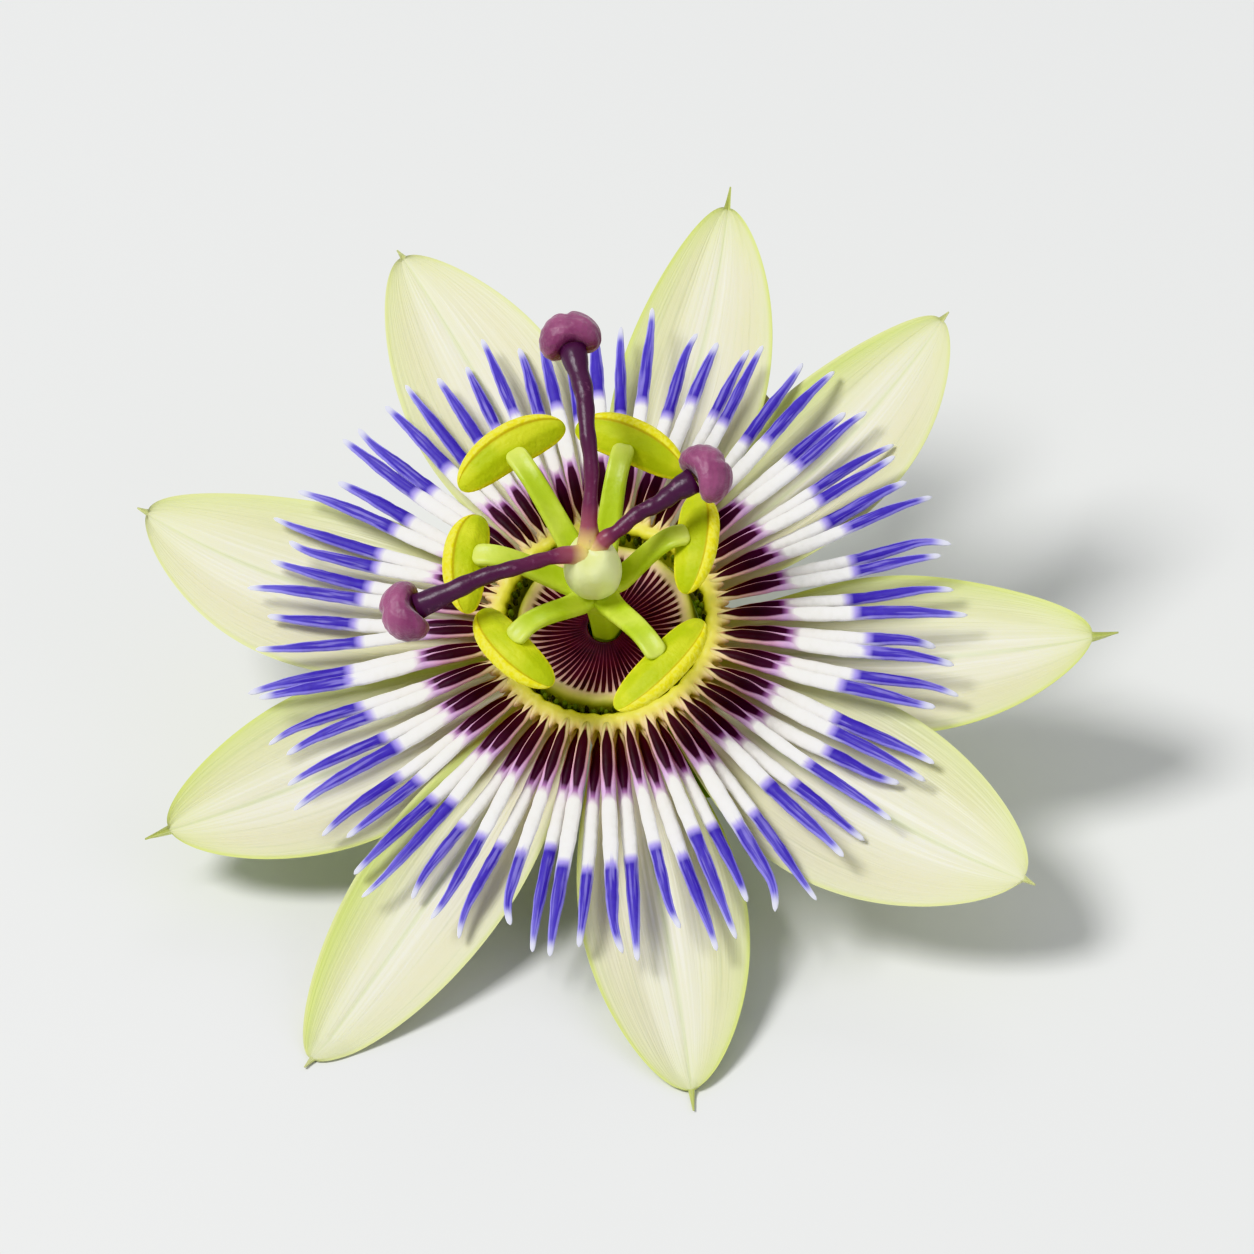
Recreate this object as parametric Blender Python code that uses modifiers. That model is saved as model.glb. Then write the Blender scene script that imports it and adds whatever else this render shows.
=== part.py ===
"""A passion flower picked with its stalk, lying face up on a flat surface.

The flower head is modelled in its own frame: its axis is Z, its face looks along +Z, and its
zero height is the level where the corona leaves the floral cup. An empty tilts that frame, so
that two of the lower tepals lie on the surface. The stalk bends behind the head and rests there
too. Sizes are in millimetres, and are turned into metres where a mesh or an empty takes them.
"""

import math

import bmesh
import bpy
from mathutils import Euler, Matrix, Vector

MM = 0.001
GAP = 0.3  # running gap kept between neighbouring pieces

# The head on its surface
HEAD_HEIGHT = 21.2  # of the head's zero level above the surface
HEAD_TILT = math.radians(24.0)  # between the head's axis and the vertical
DOWNHILL = math.radians(-103.4)  # the way the face leans, in the head's plane

# Tepals: the four sepals stand in the outer whorl, under the five petals.
# name, tip azimuth, sweep of the tip, tip radius, half width, lift of the tip
TEPALS = (
    ("petal_1", 114.6, 2.8, 45.1, 7.3, 0.4),
    ("petal_2", 44.0, 4.6, 44.2, 6.6, 0.6),
    ("petal_3", -35.8, 3.1, 45.7, 8.9, 0.0),
    ("petal_4", -124.0, 0.4, 48.8, 6.3, -0.6),
    ("petal_5", 159.6, -7.0, 45.6, 7.8, 0.2),
    ("sepal_1", 75.2, 2.8, 46.5, 6.4, 0.8),
    ("sepal_2", -2.6, 3.6, 44.4, 7.4, 0.4),
    ("sepal_3", -81.9, -1.2, 45.3, 6.9, 0.0),
    ("sepal_4", -158.2, -0.6, 43.9, 7.8, 0.2),
)
TEPAL_THICKNESS = 0.6
PETAL_START, PETAL_LEVEL, PETAL_SAG, PETAL_AWN = 8.0, -2.65, 1.2, 1.2
SEPAL_START, SEPAL_LEVEL, SEPAL_SAG, SEPAL_AWN = 9.15, -4.1, 1.6, 2.4
TEPAL_CUPPING = 0.7  # how far the edges stand above the midrib
TEPAL_BASE_HALF_WIDTH = 2.5
AWN_HALF_WIDTH = 0.3

# Floral cup, corona and nectar cover, each turned about the head's axis
CUP_BOTTOM, CUP_RIM_LEVEL, CUP_RIM_RADIUS = -9.0, -3.25, 8.8
CORONA_SECTORS, SECTOR_COUNT = 6, 6  # sectors in each of the two rows, and filaments in each
CORONA_PITCH = 360.0 / (CORONA_SECTORS * SECTOR_COUNT)
CORONA_INNER_RADIUS, CORONA_RING_RADIUS, CORONA_TIP_RADIUS = 9.3, 11.3, 32.6
LOWER_ROW_LEVEL, UPPER_ROW_LEVEL = -1.2, 0.25
CORONA_DROOP = 0.9  # fall of a filament from its root to its tip
FRINGE_COUNT, FRINGE_RADIUS = 40, 8.95
COVER_OUTER_RADIUS, COVER_CREST_RADIUS, COVER_INNER_RADIUS = 8.25, 7.7, 2.4
COVER_CREST_LEVEL, COVER_MOUTH_LEVEL = 0.1, -0.9

# Column, stamens, ovary, styles and stigmas
COLUMN_FOOT, COLUMN_TOP, COLUMN_TOP_RADIUS = -6.85, 8.4, 1.9
STAMEN_ROOT_LEVEL = 7.7
# azimuth, reach and rise of each strap, then the twist and the inward lean of its anther
STAMENS = (
    (120.3, 13.0, 4.9, 1.0, 30.0),
    (75.0, 11.4, 4.9, -14.0, 30.0),
    (17.0, 8.2, 4.6, -24.0, 20.0),
    (-58.5, 10.2, 4.5, 15.0, 12.0),
    (-136.8, 9.2, 4.5, -5.0, 12.0),
    (170.1, 10.0, 4.5, 3.0, 25.0),
)
ANTHER_HALF_SIZES = (5.6, 1.75, 1.05)  # along, across and through
ANTHER_OVERHANG = 0.9  # of an anther's middle past the end of its strap
OVARY_RADIUS, OVARY_BOTTOM, OVARY_HEIGHT = 2.5, COLUMN_TOP + GAP, 6.4
STYLE_ROOT_RADIUS, STYLE_ROOT_LEVEL = 1.5, 15.2
# azimuth, reach and height of each style's end, then its bow upwards and sideways
STYLES = (
    (91.6, 16.8, 20.6, 2.0, -0.9),
    (29.6, 10.4, 16.6, 0.3, 0.0),
    (195.6, 15.4, 14.6, 1.2, 0.0),
)
STIGMA_HALF_SIZES = (2.9, 2.6, 1.75)

# Bracts and stalk
BRACT_AZIMUTHS = (-48.0, 72.0, -166.0)
BRACT_START, BRACT_LENGTH, BRACT_HALF_WIDTH, BRACT_LEVEL = 2.3, 17.5, 6.2, -10.3
STALK_RADIUS = 1.6
STALK_TOUCHDOWN, STALK_END = (5.5, 20.0), (15.0, 58.0)  # X and Y on the surface

COLOURS = {  # base colour and roughness
    "petal_white": ((0.82, 0.85, 0.68), 0.5),
    "sepal_green_white": ((0.72, 0.80, 0.50), 0.5),
    "corona_blue": ((0.30, 0.24, 0.72), 0.45),
    "nectar_cover_purple": ((0.16, 0.03, 0.09), 0.45),
    "fringe_dark": ((0.10, 0.07, 0.05), 0.5),
    "cup_green": ((0.42, 0.55, 0.18), 0.5),
    "column_green": ((0.55, 0.68, 0.16), 0.4),
    "stamen_green": ((0.55, 0.68, 0.16), 0.4),
    "anther_yellow": ((0.72, 0.74, 0.08), 0.6),
    "ovary_green": ((0.66, 0.78, 0.38), 0.4),
    "style_purple": ((0.14, 0.04, 0.12), 0.35),
    "stigma_plum": ((0.30, 0.08, 0.15), 0.45),
    "bract_green": ((0.30, 0.45, 0.10), 0.5),
    "stalk_green": ((0.34, 0.44, 0.12), 0.5),
}


def clear_scene():
    for obj in list(bpy.data.objects):
        bpy.data.objects.remove(obj)


def new_collection(name):
    collection = bpy.data.collections.new(name)
    bpy.context.scene.collection.children.link(collection)
    return collection


def material(name):
    """The named material, made the first time that it is asked for."""
    if name in bpy.data.materials:
        return bpy.data.materials[name]
    colour, roughness = COLOURS[name]
    made = bpy.data.materials.new(name)
    made.use_nodes = True
    shader = made.node_tree.nodes["Principled BSDF"]
    shader.inputs["Base Color"].default_value = (*colour, 1.0)
    shader.inputs["Roughness"].default_value = roughness
    shader.inputs["Metallic"].default_value = 0.0
    made.diffuse_color = (*colour, 1.0)
    return made


def empty(name, parent, matrix):
    made = bpy.data.objects.new(name, None)
    bpy.context.scene.collection.objects.link(made)
    made.parent = parent
    made.matrix_local = matrix
    return made


def add_object(name, data, parent, collection, slot):
    """A shown piece, or a hidden helper where it has no material slot."""
    made = bpy.data.objects.new(name, data)
    collection.objects.link(made)
    made.parent = parent
    if slot:
        data.materials.append(material(slot))
    else:
        made.hide_render = True
        made.display_type = "WIRE"
    return made


def polar(radius, azimuth_degrees, height):
    angle = math.radians(azimuth_degrees)
    return Vector((radius * math.cos(angle), radius * math.sin(angle), height))


def head_matrix():
    """Tilts the head towards DOWNHILL about a level axis, and lifts it to its height."""
    level_axis = Vector((-math.sin(DOWNHILL), math.cos(DOWNHILL), 0.0))
    lift = Matrix.Translation((0.0, 0.0, HEAD_HEIGHT * MM))
    return lift @ Matrix.Rotation(HEAD_TILT, 4, level_axis)


# Sheets: tepals, bracts and stamen straps


def sheet(name, stations, lanes, point_at, thickness):
    """A flat grid whose points are set by point_at(along, across), with a wall of even thickness.

    along runs from 0 at the root to 1 at the tip, and across from -1 to 1.
    """
    grid = bmesh.new()
    bmesh.ops.create_grid(grid, x_segments=stations, y_segments=lanes, size=1.0)
    for vert in grid.verts:
        vert.co = Vector(point_at((vert.co.x + 1.0) / 2.0, vert.co.y)) * MM
    data = bpy.data.meshes.new(name)
    grid.to_mesh(data)
    grid.free()
    data.shade_smooth()
    return data, thickness * MM


def thicken(obj, thickness):
    wall = obj.modifiers.new("wall", "SOLIDIFY")
    wall.thickness = thickness
    wall.offset = 0.0


def surface_level(radius, side, azimuth):
    """Height, in the head's frame, of a tepal's middle where its back lies on the surface."""
    downhill = radius * math.cos(azimuth - DOWNHILL) - side * math.sin(azimuth - DOWNHILL)
    middle = HEAD_HEIGHT - TEPAL_THICKNESS / 2.0
    return downhill * math.tan(HEAD_TILT) - middle / math.cos(HEAD_TILT)


def tepal_half_width(along, widest, awn_share):
    """A blade that widens from a narrow root, closes bluntly and ends in an awn."""
    blade = min(along / (1.0 - awn_share), 1.0)
    swell = max(math.sin(math.pi * blade**1.05), 0.0) ** 0.6
    swell *= 1.0 - 0.55 * (1.0 - blade) ** 4
    return TEPAL_BASE_HALF_WIDTH * (1.0 - blade) ** 2 + widest * swell + AWN_HALF_WIDTH


def tepal_point(along, across, azimuth, sweep, start, tip, half_width, levels, awn):
    """Point of a tepal that runs out along +X before its object is turned to its azimuth.

    levels holds the height of the root, the height of the tip and the sag between them.
    """
    root_level, tip_level, sag = levels
    length = tip + awn - start
    radius = start + length * along
    width = tepal_half_width(along, half_width, awn / length)
    side = across * width + radius * sweep * (along**2 - 1.0)
    cupping = TEPAL_CUPPING * across**2 * math.sin(math.pi * along)
    fall = 4.0 * sag * along * (1.0 - along)
    height = root_level + (tip_level - root_level) * along - fall + cupping
    return radius, side, max(height, surface_level(radius, side, azimuth))


def make_tepal(entry, head, collection):
    name, azimuth, sweep, tip, half_width, lift = entry
    if name.startswith("petal"):
        start, level, sag, awn, slot = (
            PETAL_START, PETAL_LEVEL, PETAL_SAG, PETAL_AWN, "petal_white",
        )
    else:
        start, level, sag, awn, slot = (
            SEPAL_START, SEPAL_LEVEL, SEPAL_SAG, SEPAL_AWN, "sepal_green_white",
        )
    turn = math.radians(azimuth)
    data, thickness = sheet(
        name, 15, 6,
        lambda along, across: tepal_point(
            along, across, turn, math.radians(sweep), start, tip,
            half_width, (level, level + lift, sag), awn,
        ),
        TEPAL_THICKNESS,
    )
    tepal = add_object(name, data, head, collection, slot)
    tepal.rotation_euler = Euler((0.0, 0.0, turn))
    thicken(tepal, thickness)


def bract_point(along, across):
    """A pointed oval leaf that spreads under the cup and turns up a little at its tip."""
    radius = BRACT_START + BRACT_LENGTH * along
    width = 1.0 * (1.0 - along) + BRACT_HALF_WIDTH * math.sin(math.pi * along**0.8) ** 0.9
    height = BRACT_LEVEL + 2.6 * along**1.5 + 0.9 * across**2 * along
    return radius, across * (width + 0.25), height


def make_bract(index, azimuth, head, collection):
    data, thickness = sheet(f"bract_{index}", 10, 4, bract_point, 0.5)
    bract = add_object(f"bract_{index}", data, head, collection, "bract_green")
    bract.rotation_euler = Euler((0.0, 0.0, math.radians(azimuth)))
    thicken(bract, thickness)


def strap_point(along, across, reach, rise):
    """The strap leaves the column level, then arches up and levels off at the anther."""
    start = COLUMN_TOP_RADIUS + GAP
    radius = start + (reach - start) * along
    width = 0.9 - 0.3 * along
    height = STAMEN_ROOT_LEVEL + rise * math.sin(math.pi / 2.0 * along) ** 1.3
    return radius, across * width, height


def make_stamen(index, entry, head, collection):
    """A strap whose end lies on the back of its anther, which is set across it."""
    azimuth, reach, rise, twist, lean = entry
    data, thickness = sheet(
        f"stamen_{index}", 8, 2,
        lambda along, across: strap_point(along, across, reach, rise),
        0.8,
    )
    strap = add_object(f"stamen_{index}", data, head, collection, "stamen_green")
    strap.rotation_euler = Euler((0.0, 0.0, math.radians(azimuth)))
    thicken(strap, thickness)

    data = ball(f"anther_{index}", ANTHER_HALF_SIZES, 12, 8)
    anther = add_object(f"anther_{index}", data, head, collection, "anther_yellow")
    turn = (
        Matrix.Rotation(math.radians(azimuth + twist), 3, "Z")
        @ Matrix.Rotation(-math.radians(lean), 3, "Y")
        @ Matrix.Rotation(math.pi / 2.0, 3, "Z")
    )
    anther.rotation_euler = turn.to_euler()
    strap_end = polar(reach + ANTHER_OVERHANG, azimuth, STAMEN_ROOT_LEVEL + rise)
    drop = ANTHER_HALF_SIZES[2] + 0.4 + GAP
    anther.location = (strap_end - turn @ Vector((0.0, 0.0, drop))) * MM


# Turned and round pieces


def ball(name, half_sizes, around, rings):
    """A ball stretched to three half sizes."""
    sphere = bmesh.new()
    bmesh.ops.create_uvsphere(sphere, u_segments=around, v_segments=rings, radius=MM)
    bmesh.ops.scale(sphere, vec=half_sizes, verts=sphere.verts)
    data = bpy.data.meshes.new(name)
    sphere.to_mesh(data)
    sphere.free()
    data.shade_smooth()
    return data


def turned(name, profile, head, collection, slot, steps=40):
    """A profile of (radius, height) points turned about the head's axis.

    The profile runs down its outer side. It is a closed loop unless both ends lie on the axis.
    """
    ends_on_axis = profile[0][0] == 0.0 and profile[-1][0] == 0.0
    count = len(profile)
    edges = [(i, i + 1) for i in range(count - 1)]
    if not ends_on_axis:
        edges.append((count - 1, 0))
    data = bpy.data.meshes.new(name)
    data.from_pydata([(r * MM, 0.0, z * MM) for r, z in profile], edges, [])
    made = add_object(name, data, head, collection, slot)
    screw = made.modifiers.new("turn", "SCREW")
    screw.steps = screw.render_steps = steps
    screw.use_merge_vertices = True
    screw.merge_threshold = 0.00001
    screw.use_smooth_shade = True
    return made


def make_floral_cup(head, collection):
    rim = CUP_RIM_LEVEL
    outside = [(CUP_RIM_RADIUS, rim), (8.5, rim - 1.8), (7.6, rim - 3.4), (5.6, rim - 4.8)]
    bottom = [(2.2, CUP_BOTTOM), (0.0, CUP_BOTTOM)]
    inside = [(0.0, CUP_BOTTOM + 1.8), (4.4, CUP_BOTTOM + 2.0), (6.6, rim - 2.2), (7.4, rim)]
    turned("floral_cup", [*inside, *outside, *bottom], head, collection, "cup_green")


def make_nectar_cover(head, collection):
    """The fleshy fold that bulges inside the corona and dips towards the column as a funnel."""
    wall = 0.5
    crest = (COVER_CREST_RADIUS, COVER_CREST_LEVEL)
    outside = [crest, (COVER_OUTER_RADIUS, COVER_CREST_LEVEL - 0.8)]
    foot = [(COVER_OUTER_RADIUS, -1.9), (COVER_OUTER_RADIUS - wall, -1.9)]
    under = [(7.4, -0.8), (6.6, -1.0), (COVER_INNER_RADIUS, COVER_MOUTH_LEVEL - wall)]
    funnel = [(COVER_INNER_RADIUS, COVER_MOUTH_LEVEL), (6.7, -0.3)]
    profile = [*outside, *foot, *under, *funnel]
    turned("nectar_cover", profile, head, collection, "nectar_cover_purple")


def make_limen(head, collection):
    """The low collar that stands on the cup's floor round the foot of the column."""
    floor = CUP_BOTTOM + 2.0 + GAP
    profile = [(3.9, floor + 1.6), (3.7, floor), (3.1, floor), (3.3, floor + 1.6)]
    turned("limen", profile, head, collection, "cup_green", steps=24)


def make_column(head, collection):
    profile = [
        (0.0, COLUMN_TOP), (COLUMN_TOP_RADIUS, COLUMN_TOP), (COLUMN_TOP_RADIUS, COLUMN_TOP - 1.6),
        (1.45, COLUMN_TOP - 3.2), (1.4, COLUMN_FOOT + 3.0), (2.0, COLUMN_FOOT + 0.9),
        (2.4, COLUMN_FOOT), (0.0, COLUMN_FOOT),
    ]
    turned("column", profile, head, collection, "column_green", steps=20)


def make_ovary(head, collection):
    profile = []
    rings = 8
    for i in range(rings + 1):
        angle = math.pi * i / rings
        level = OVARY_BOTTOM + OVARY_HEIGHT * (1.0 + math.cos(angle)) / 2.0
        profile.append((OVARY_RADIUS * math.sin(angle) ** 0.85 if 0 < i < rings else 0.0, level))
    turned("ovary", profile, head, collection, "ovary_green", steps=20)


# Filaments and tubes


def tube_mesh(name, splines, depth, sides_step):
    """One mesh of round tubes, each a list of (point, radius share) pairs, with closed ends."""
    curve = bpy.data.curves.new(name, "CURVE")
    curve.dimensions = "3D"
    curve.bevel_depth = depth * MM
    curve.bevel_resolution = sides_step
    curve.use_fill_caps = True
    for pairs in splines:
        spline = curve.splines.new("POLY")
        spline.points.add(len(pairs) - 1)
        for point, (place, share) in zip(spline.points, pairs):
            point.co = (*(place * MM), 1.0)
            point.radius = share
    maker = bpy.data.objects.new(name, curve)
    bpy.context.scene.collection.objects.link(maker)
    bpy.context.view_layer.update()
    graph = bpy.context.evaluated_depsgraph_get()
    data = bpy.data.meshes.new_from_object(maker.evaluated_get(graph))
    bpy.data.objects.remove(maker)
    weld = bmesh.new()
    weld.from_mesh(data)
    bmesh.ops.remove_doubles(weld, verts=weld.verts, dist=0.00001)
    bmesh.ops.recalc_face_normals(weld, faces=weld.faces)
    weld.to_mesh(data)
    weld.free()
    data.shade_smooth()
    return data


def union_with(obj, helper):
    join = obj.modifiers.new("join", "BOOLEAN")
    join.operation = "UNION"
    join.object = helper


def corona_filament(azimuth, level, tip_radius):
    """A filament that is narrow at its dark root, stout in the middle and thin at its tip."""
    root = CORONA_RING_RADIUS - 0.6
    pairs = []
    for along, share in ((0.0, 0.42), (0.2, 0.5), (0.45, 0.62), (0.75, 0.5), (1.0, 0.2)):
        radius = root + (tip_radius - root) * along
        pairs.append((polar(radius, azimuth, level - CORONA_DROOP * along**1.5), share))
    return pairs


def ring_sector(name, profile, start, sweep, steps):
    """A profile of (radius, height) points carried round part of a circle, closed at both ends."""
    sector = bmesh.new()
    loops = []
    for i in range(steps + 1):
        azimuth = start + sweep * i / steps
        loops.append([sector.verts.new(polar(r, azimuth, z) * MM) for r, z in profile])
    for here, there in zip(loops, loops[1:]):
        for k in range(len(profile)):
            sector.faces.new((here[k - 1], here[k], there[k], there[k - 1]))
    sector.faces.new(loops[0])
    sector.faces.new(loops[-1])
    bmesh.ops.recalc_face_normals(sector, faces=sector.faces)
    data = bpy.data.meshes.new(name)
    sector.to_mesh(data)
    sector.free()
    data.shade_smooth()
    return data


def make_corona_sector(name, level, first, head, collection, helpers):
    """A sector of a corona row: part of the ring, with radiating filaments of uneven lengths."""
    splines = []
    for i in range(SECTOR_COUNT):
        azimuth = first + CORONA_PITCH * i
        wave = 0.9 * math.sin(0.42 * azimuth) + 0.5 * math.sin(0.93 * azimuth + 1.0)
        splines.append(corona_filament(azimuth, level, CORONA_TIP_RADIUS + wave))
    tubes = tube_mesh(name + "_filaments", splines, 1.0, 1)
    filaments = add_object(name + "_filaments", tubes, head, helpers, None)
    inner, outer = CORONA_INNER_RADIUS, CORONA_RING_RADIUS
    profile = [
        (outer - 0.5, level + 0.6), (outer, level + 0.1), (outer, level - 0.3),
        (outer - 0.3, level - 0.55), (inner, level - 0.55), (inner, level + 0.45),
    ]
    split = math.degrees(GAP / inner)
    start = first - (CORONA_PITCH - split) / 2.0
    sweep = CORONA_PITCH * SECTOR_COUNT - split
    data = ring_sector(name, profile, start, sweep, 8)
    union_with(add_object(name, data, head, collection, "corona_blue"), filaments)


def make_corona_row(name, level, turn, head, collection, helpers):
    for i in range(CORONA_SECTORS):
        first = turn + CORONA_PITCH * SECTOR_COUNT * i
        make_corona_sector(f"{name}_{i + 1}", level, first, head, collection, helpers)


def make_fringe(head, collection, helpers):
    """The ring of tiny knobs between the corona and the nectar cover."""
    splines = []
    for i in range(FRINGE_COUNT):
        azimuth = 360.0 * i / FRINGE_COUNT
        foot, top = polar(FRINGE_RADIUS, azimuth, 0.0), polar(FRINGE_RADIUS, azimuth, 0.75)
        splines.append([(foot, 1.0), (top, 0.9)])
    knobs = add_object("fringe_knobs", tube_mesh("fringe_knobs", splines, 0.28, 0), head, helpers, None)
    inner, outer = FRINGE_RADIUS - 0.2, FRINGE_RADIUS + 0.1
    profile = [(outer, 0.25), (outer, -1.5), (inner, -1.5), (inner, 0.25)]
    ring = turned("corona_fringe", profile, head, collection, "fringe_dark", steps=40)
    union_with(ring, knobs)


def make_style(index, entry, head, collection):
    """A style that bows out from the ovary's crown, with its stigma set on its end."""
    azimuth, reach, height, rise, sway = entry
    root = polar(STYLE_ROOT_RADIUS, azimuth, STYLE_ROOT_LEVEL)
    end = polar(reach, azimuth, height)
    bow = polar(sway, azimuth + 90.0, rise)
    pairs = []
    for i in range(8):
        along = i / 7.0
        place = root.lerp(end, along) + bow * math.sin(math.pi * along)
        pairs.append((place, 0.55 + 0.35 * along))
    data = tube_mesh(f"style_{index}", [pairs], 1.0, 2)
    add_object(f"style_{index}", data, head, collection, "style_purple")

    stigma_data = ball(f"stigma_{index}", STIGMA_HALF_SIZES, 14, 9)
    stigma = add_object(f"stigma_{index}", stigma_data, head, collection, "stigma_plum")
    last_leg = (pairs[-1][0] - pairs[-2][0]).normalized()
    stigma.location = (end + last_leg * (STIGMA_HALF_SIZES[2] + GAP)) * MM
    stigma.rotation_mode = "QUATERNION"
    stigma.rotation_quaternion = last_leg.to_track_quat("Z", "Y")


def make_stalk(head, root, collection):
    """The cut stalk: it leaves the cup along the head's axis, and bends down to the surface."""
    to_root = root.matrix_world.inverted() @ head.matrix_world
    start = to_root @ (Vector((0.0, 0.0, CUP_BOTTOM - GAP)) * MM)
    leave = to_root.to_3x3() @ Vector((0.0, 0.0, -1.0))
    rest = STALK_RADIUS * 0.965 * MM  # the stalk is many-sided, and lies on one of its sides
    touch = Vector((STALK_TOUCHDOWN[0] * MM, STALK_TOUCHDOWN[1] * MM, rest))
    end = Vector((STALK_END[0] * MM, STALK_END[1] * MM, rest))
    along_surface = (end - touch).normalized()
    curve = bpy.data.curves.new("stalk", "CURVE")
    curve.dimensions = "3D"
    curve.bevel_depth = STALK_RADIUS * MM
    curve.bevel_resolution = 3
    curve.resolution_u = 8
    curve.use_fill_caps = True
    spline = curve.splines.new("BEZIER")
    spline.bezier_points.add(2)
    stations = ((start, leave, 7.0), (touch, along_surface, 8.0), (end, along_surface, 8.0))
    for point, (place, heading, reach) in zip(spline.bezier_points, stations):
        point.handle_left_type = point.handle_right_type = "FREE"
        point.co = place
        point.handle_left = place - heading * reach * MM
        point.handle_right = place + heading * reach * MM
    add_object("stalk", curve, root, collection, "stalk_green")


def centre_on_base(root, collection):
    """Moves the root so that the origin is at the middle of the base of the bounding box."""
    bpy.context.view_layer.update()
    graph = bpy.context.evaluated_depsgraph_get()
    points = []
    for obj in collection.objects:
        shown = obj.evaluated_get(graph)
        mesh = shown.to_mesh()
        points += [shown.matrix_world @ vert.co for vert in mesh.vertices]
        shown.to_mesh_clear()
    lows = [min(p[axis] for p in points) for axis in range(3)]
    highs = [max(p[axis] for p in points) for axis in range(3)]
    root.location = (-(lows[0] + highs[0]) / 2.0, -(lows[1] + highs[1]) / 2.0, -lows[2])


def main():
    clear_scene()
    flower = new_collection("passion_flower")
    helpers = new_collection("helpers")
    root = empty("flower_root", None, Matrix.Identity(4))
    head = empty("flower_head", root, head_matrix())
    bpy.context.view_layer.update()

    make_stalk(head, root, flower)
    for index, azimuth in enumerate(BRACT_AZIMUTHS, 1):
        make_bract(index, azimuth, head, flower)
    make_floral_cup(head, flower)
    for entry in TEPALS:
        make_tepal(entry, head, flower)
    half_pitch = CORONA_PITCH / 2.0
    make_corona_row("corona_lower", LOWER_ROW_LEVEL, half_pitch, head, flower, helpers)
    make_corona_row("corona_upper", UPPER_ROW_LEVEL, 0.0, head, flower, helpers)
    make_fringe(head, flower, helpers)
    make_nectar_cover(head, flower)
    make_limen(head, flower)
    make_column(head, flower)
    for index, entry in enumerate(STAMENS, 1):
        make_stamen(index, entry, head, flower)
    make_ovary(head, flower)
    for index, entry in enumerate(STYLES, 1):
        make_style(index, entry, head, flower)
    centre_on_base(root, flower)


main()
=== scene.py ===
"""The looks of a picked passion flower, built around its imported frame.

Every piece is a surface worked out in millimetres in the flower head's own frame: the head's axis
is the third coordinate, its face looks along it, and zero is the level where the corona leaves the
cup. place() carries the points to the surface that the flower lies on, in metres.
"""

import math

import bpy
import numpy as np
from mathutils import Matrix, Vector


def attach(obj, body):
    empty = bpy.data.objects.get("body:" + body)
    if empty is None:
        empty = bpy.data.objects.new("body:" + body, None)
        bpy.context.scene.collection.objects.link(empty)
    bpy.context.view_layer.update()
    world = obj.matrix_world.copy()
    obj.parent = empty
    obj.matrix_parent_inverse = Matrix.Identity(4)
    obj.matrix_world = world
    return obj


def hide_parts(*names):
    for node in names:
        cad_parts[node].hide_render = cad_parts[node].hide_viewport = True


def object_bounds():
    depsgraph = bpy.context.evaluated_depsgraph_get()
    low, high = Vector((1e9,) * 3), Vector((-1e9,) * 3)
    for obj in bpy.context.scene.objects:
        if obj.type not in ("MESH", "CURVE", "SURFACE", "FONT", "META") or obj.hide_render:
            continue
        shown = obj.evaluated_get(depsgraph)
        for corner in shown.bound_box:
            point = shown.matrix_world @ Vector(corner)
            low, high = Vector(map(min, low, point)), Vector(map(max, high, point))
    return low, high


bl_info = {
    "name": "Passion Flower",
    "version": (1, 0, 0),
    "blender": (4, 5, 0),
    "location": "View3D > Sidebar > Passion Flower",
    "description": "Builds a picked passion flower around its packed frame",
    "category": "Add Mesh",
}

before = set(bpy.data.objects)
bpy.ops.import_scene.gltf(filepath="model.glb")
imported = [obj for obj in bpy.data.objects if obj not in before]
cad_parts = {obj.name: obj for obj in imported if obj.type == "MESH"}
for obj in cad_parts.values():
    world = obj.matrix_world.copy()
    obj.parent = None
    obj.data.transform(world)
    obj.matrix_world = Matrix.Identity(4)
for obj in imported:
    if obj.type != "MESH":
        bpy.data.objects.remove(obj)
CAD_LOW, CAD_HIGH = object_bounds()

MM = 0.001
BODY = "root"
COLUMN_TOP = 8.4  # levels along the head's axis
CUP_BOTTOM = -9.0
HEAD_HEIGHT = 21.2  # of the head's zero point above the surface
HEAD_TILT = math.radians(24.0)
DOWNHILL = math.radians(-103.4)  # azimuth of the head's lowest side

# Shape of each tepal: sweep of its tip in degrees, half width, lift of its tip, and how strongly
# one side is flushed with green (plus for the side that leads round, minus for the other)
PETALS = {
    "petal_1": (2.8, 7.3, 0.4, 0.25),
    "petal_2": (4.6, 6.6, 0.6, 0.95),
    "petal_3": (3.1, 8.9, 0.0, 0.3),
    "petal_4": (0.4, 6.3, -0.6, -1.0),
    "petal_5": (-7.0, 7.8, 0.2, -0.45),
}
SEPALS = {
    "sepal_1": (2.8, 6.4, 0.8, 0.5),
    "sepal_2": (3.6, 7.4, 0.4, 0.6),
    "sepal_3": (-1.2, 6.9, 0.0, 0.3),
    "sepal_4": (-0.6, 7.8, 0.2, -0.6),
}
TEPAL_AROUND = 112  # points round each cross-section
# Where a whorl starts, its level there, the sag of its middle, and the length of its awns
PETAL_WHORL = (8.0, -2.65, 1.2, 1.2)
SEPAL_WHORL = (9.15, -4.1, 1.6, 2.4)

CORONA_COUNT = 36  # filaments in each row
CORONA_ROOT = 10.3
CORONA_TIP = 32.6
ROWS = {"corona_lower": (-1.2, 5.0, 11), "corona_upper": (0.25, 0.0, 23)}  # level, turn, seed
RING_TEETH = 72
COVER_RIBS = 64
KNOB_COUNT = 96
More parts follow.
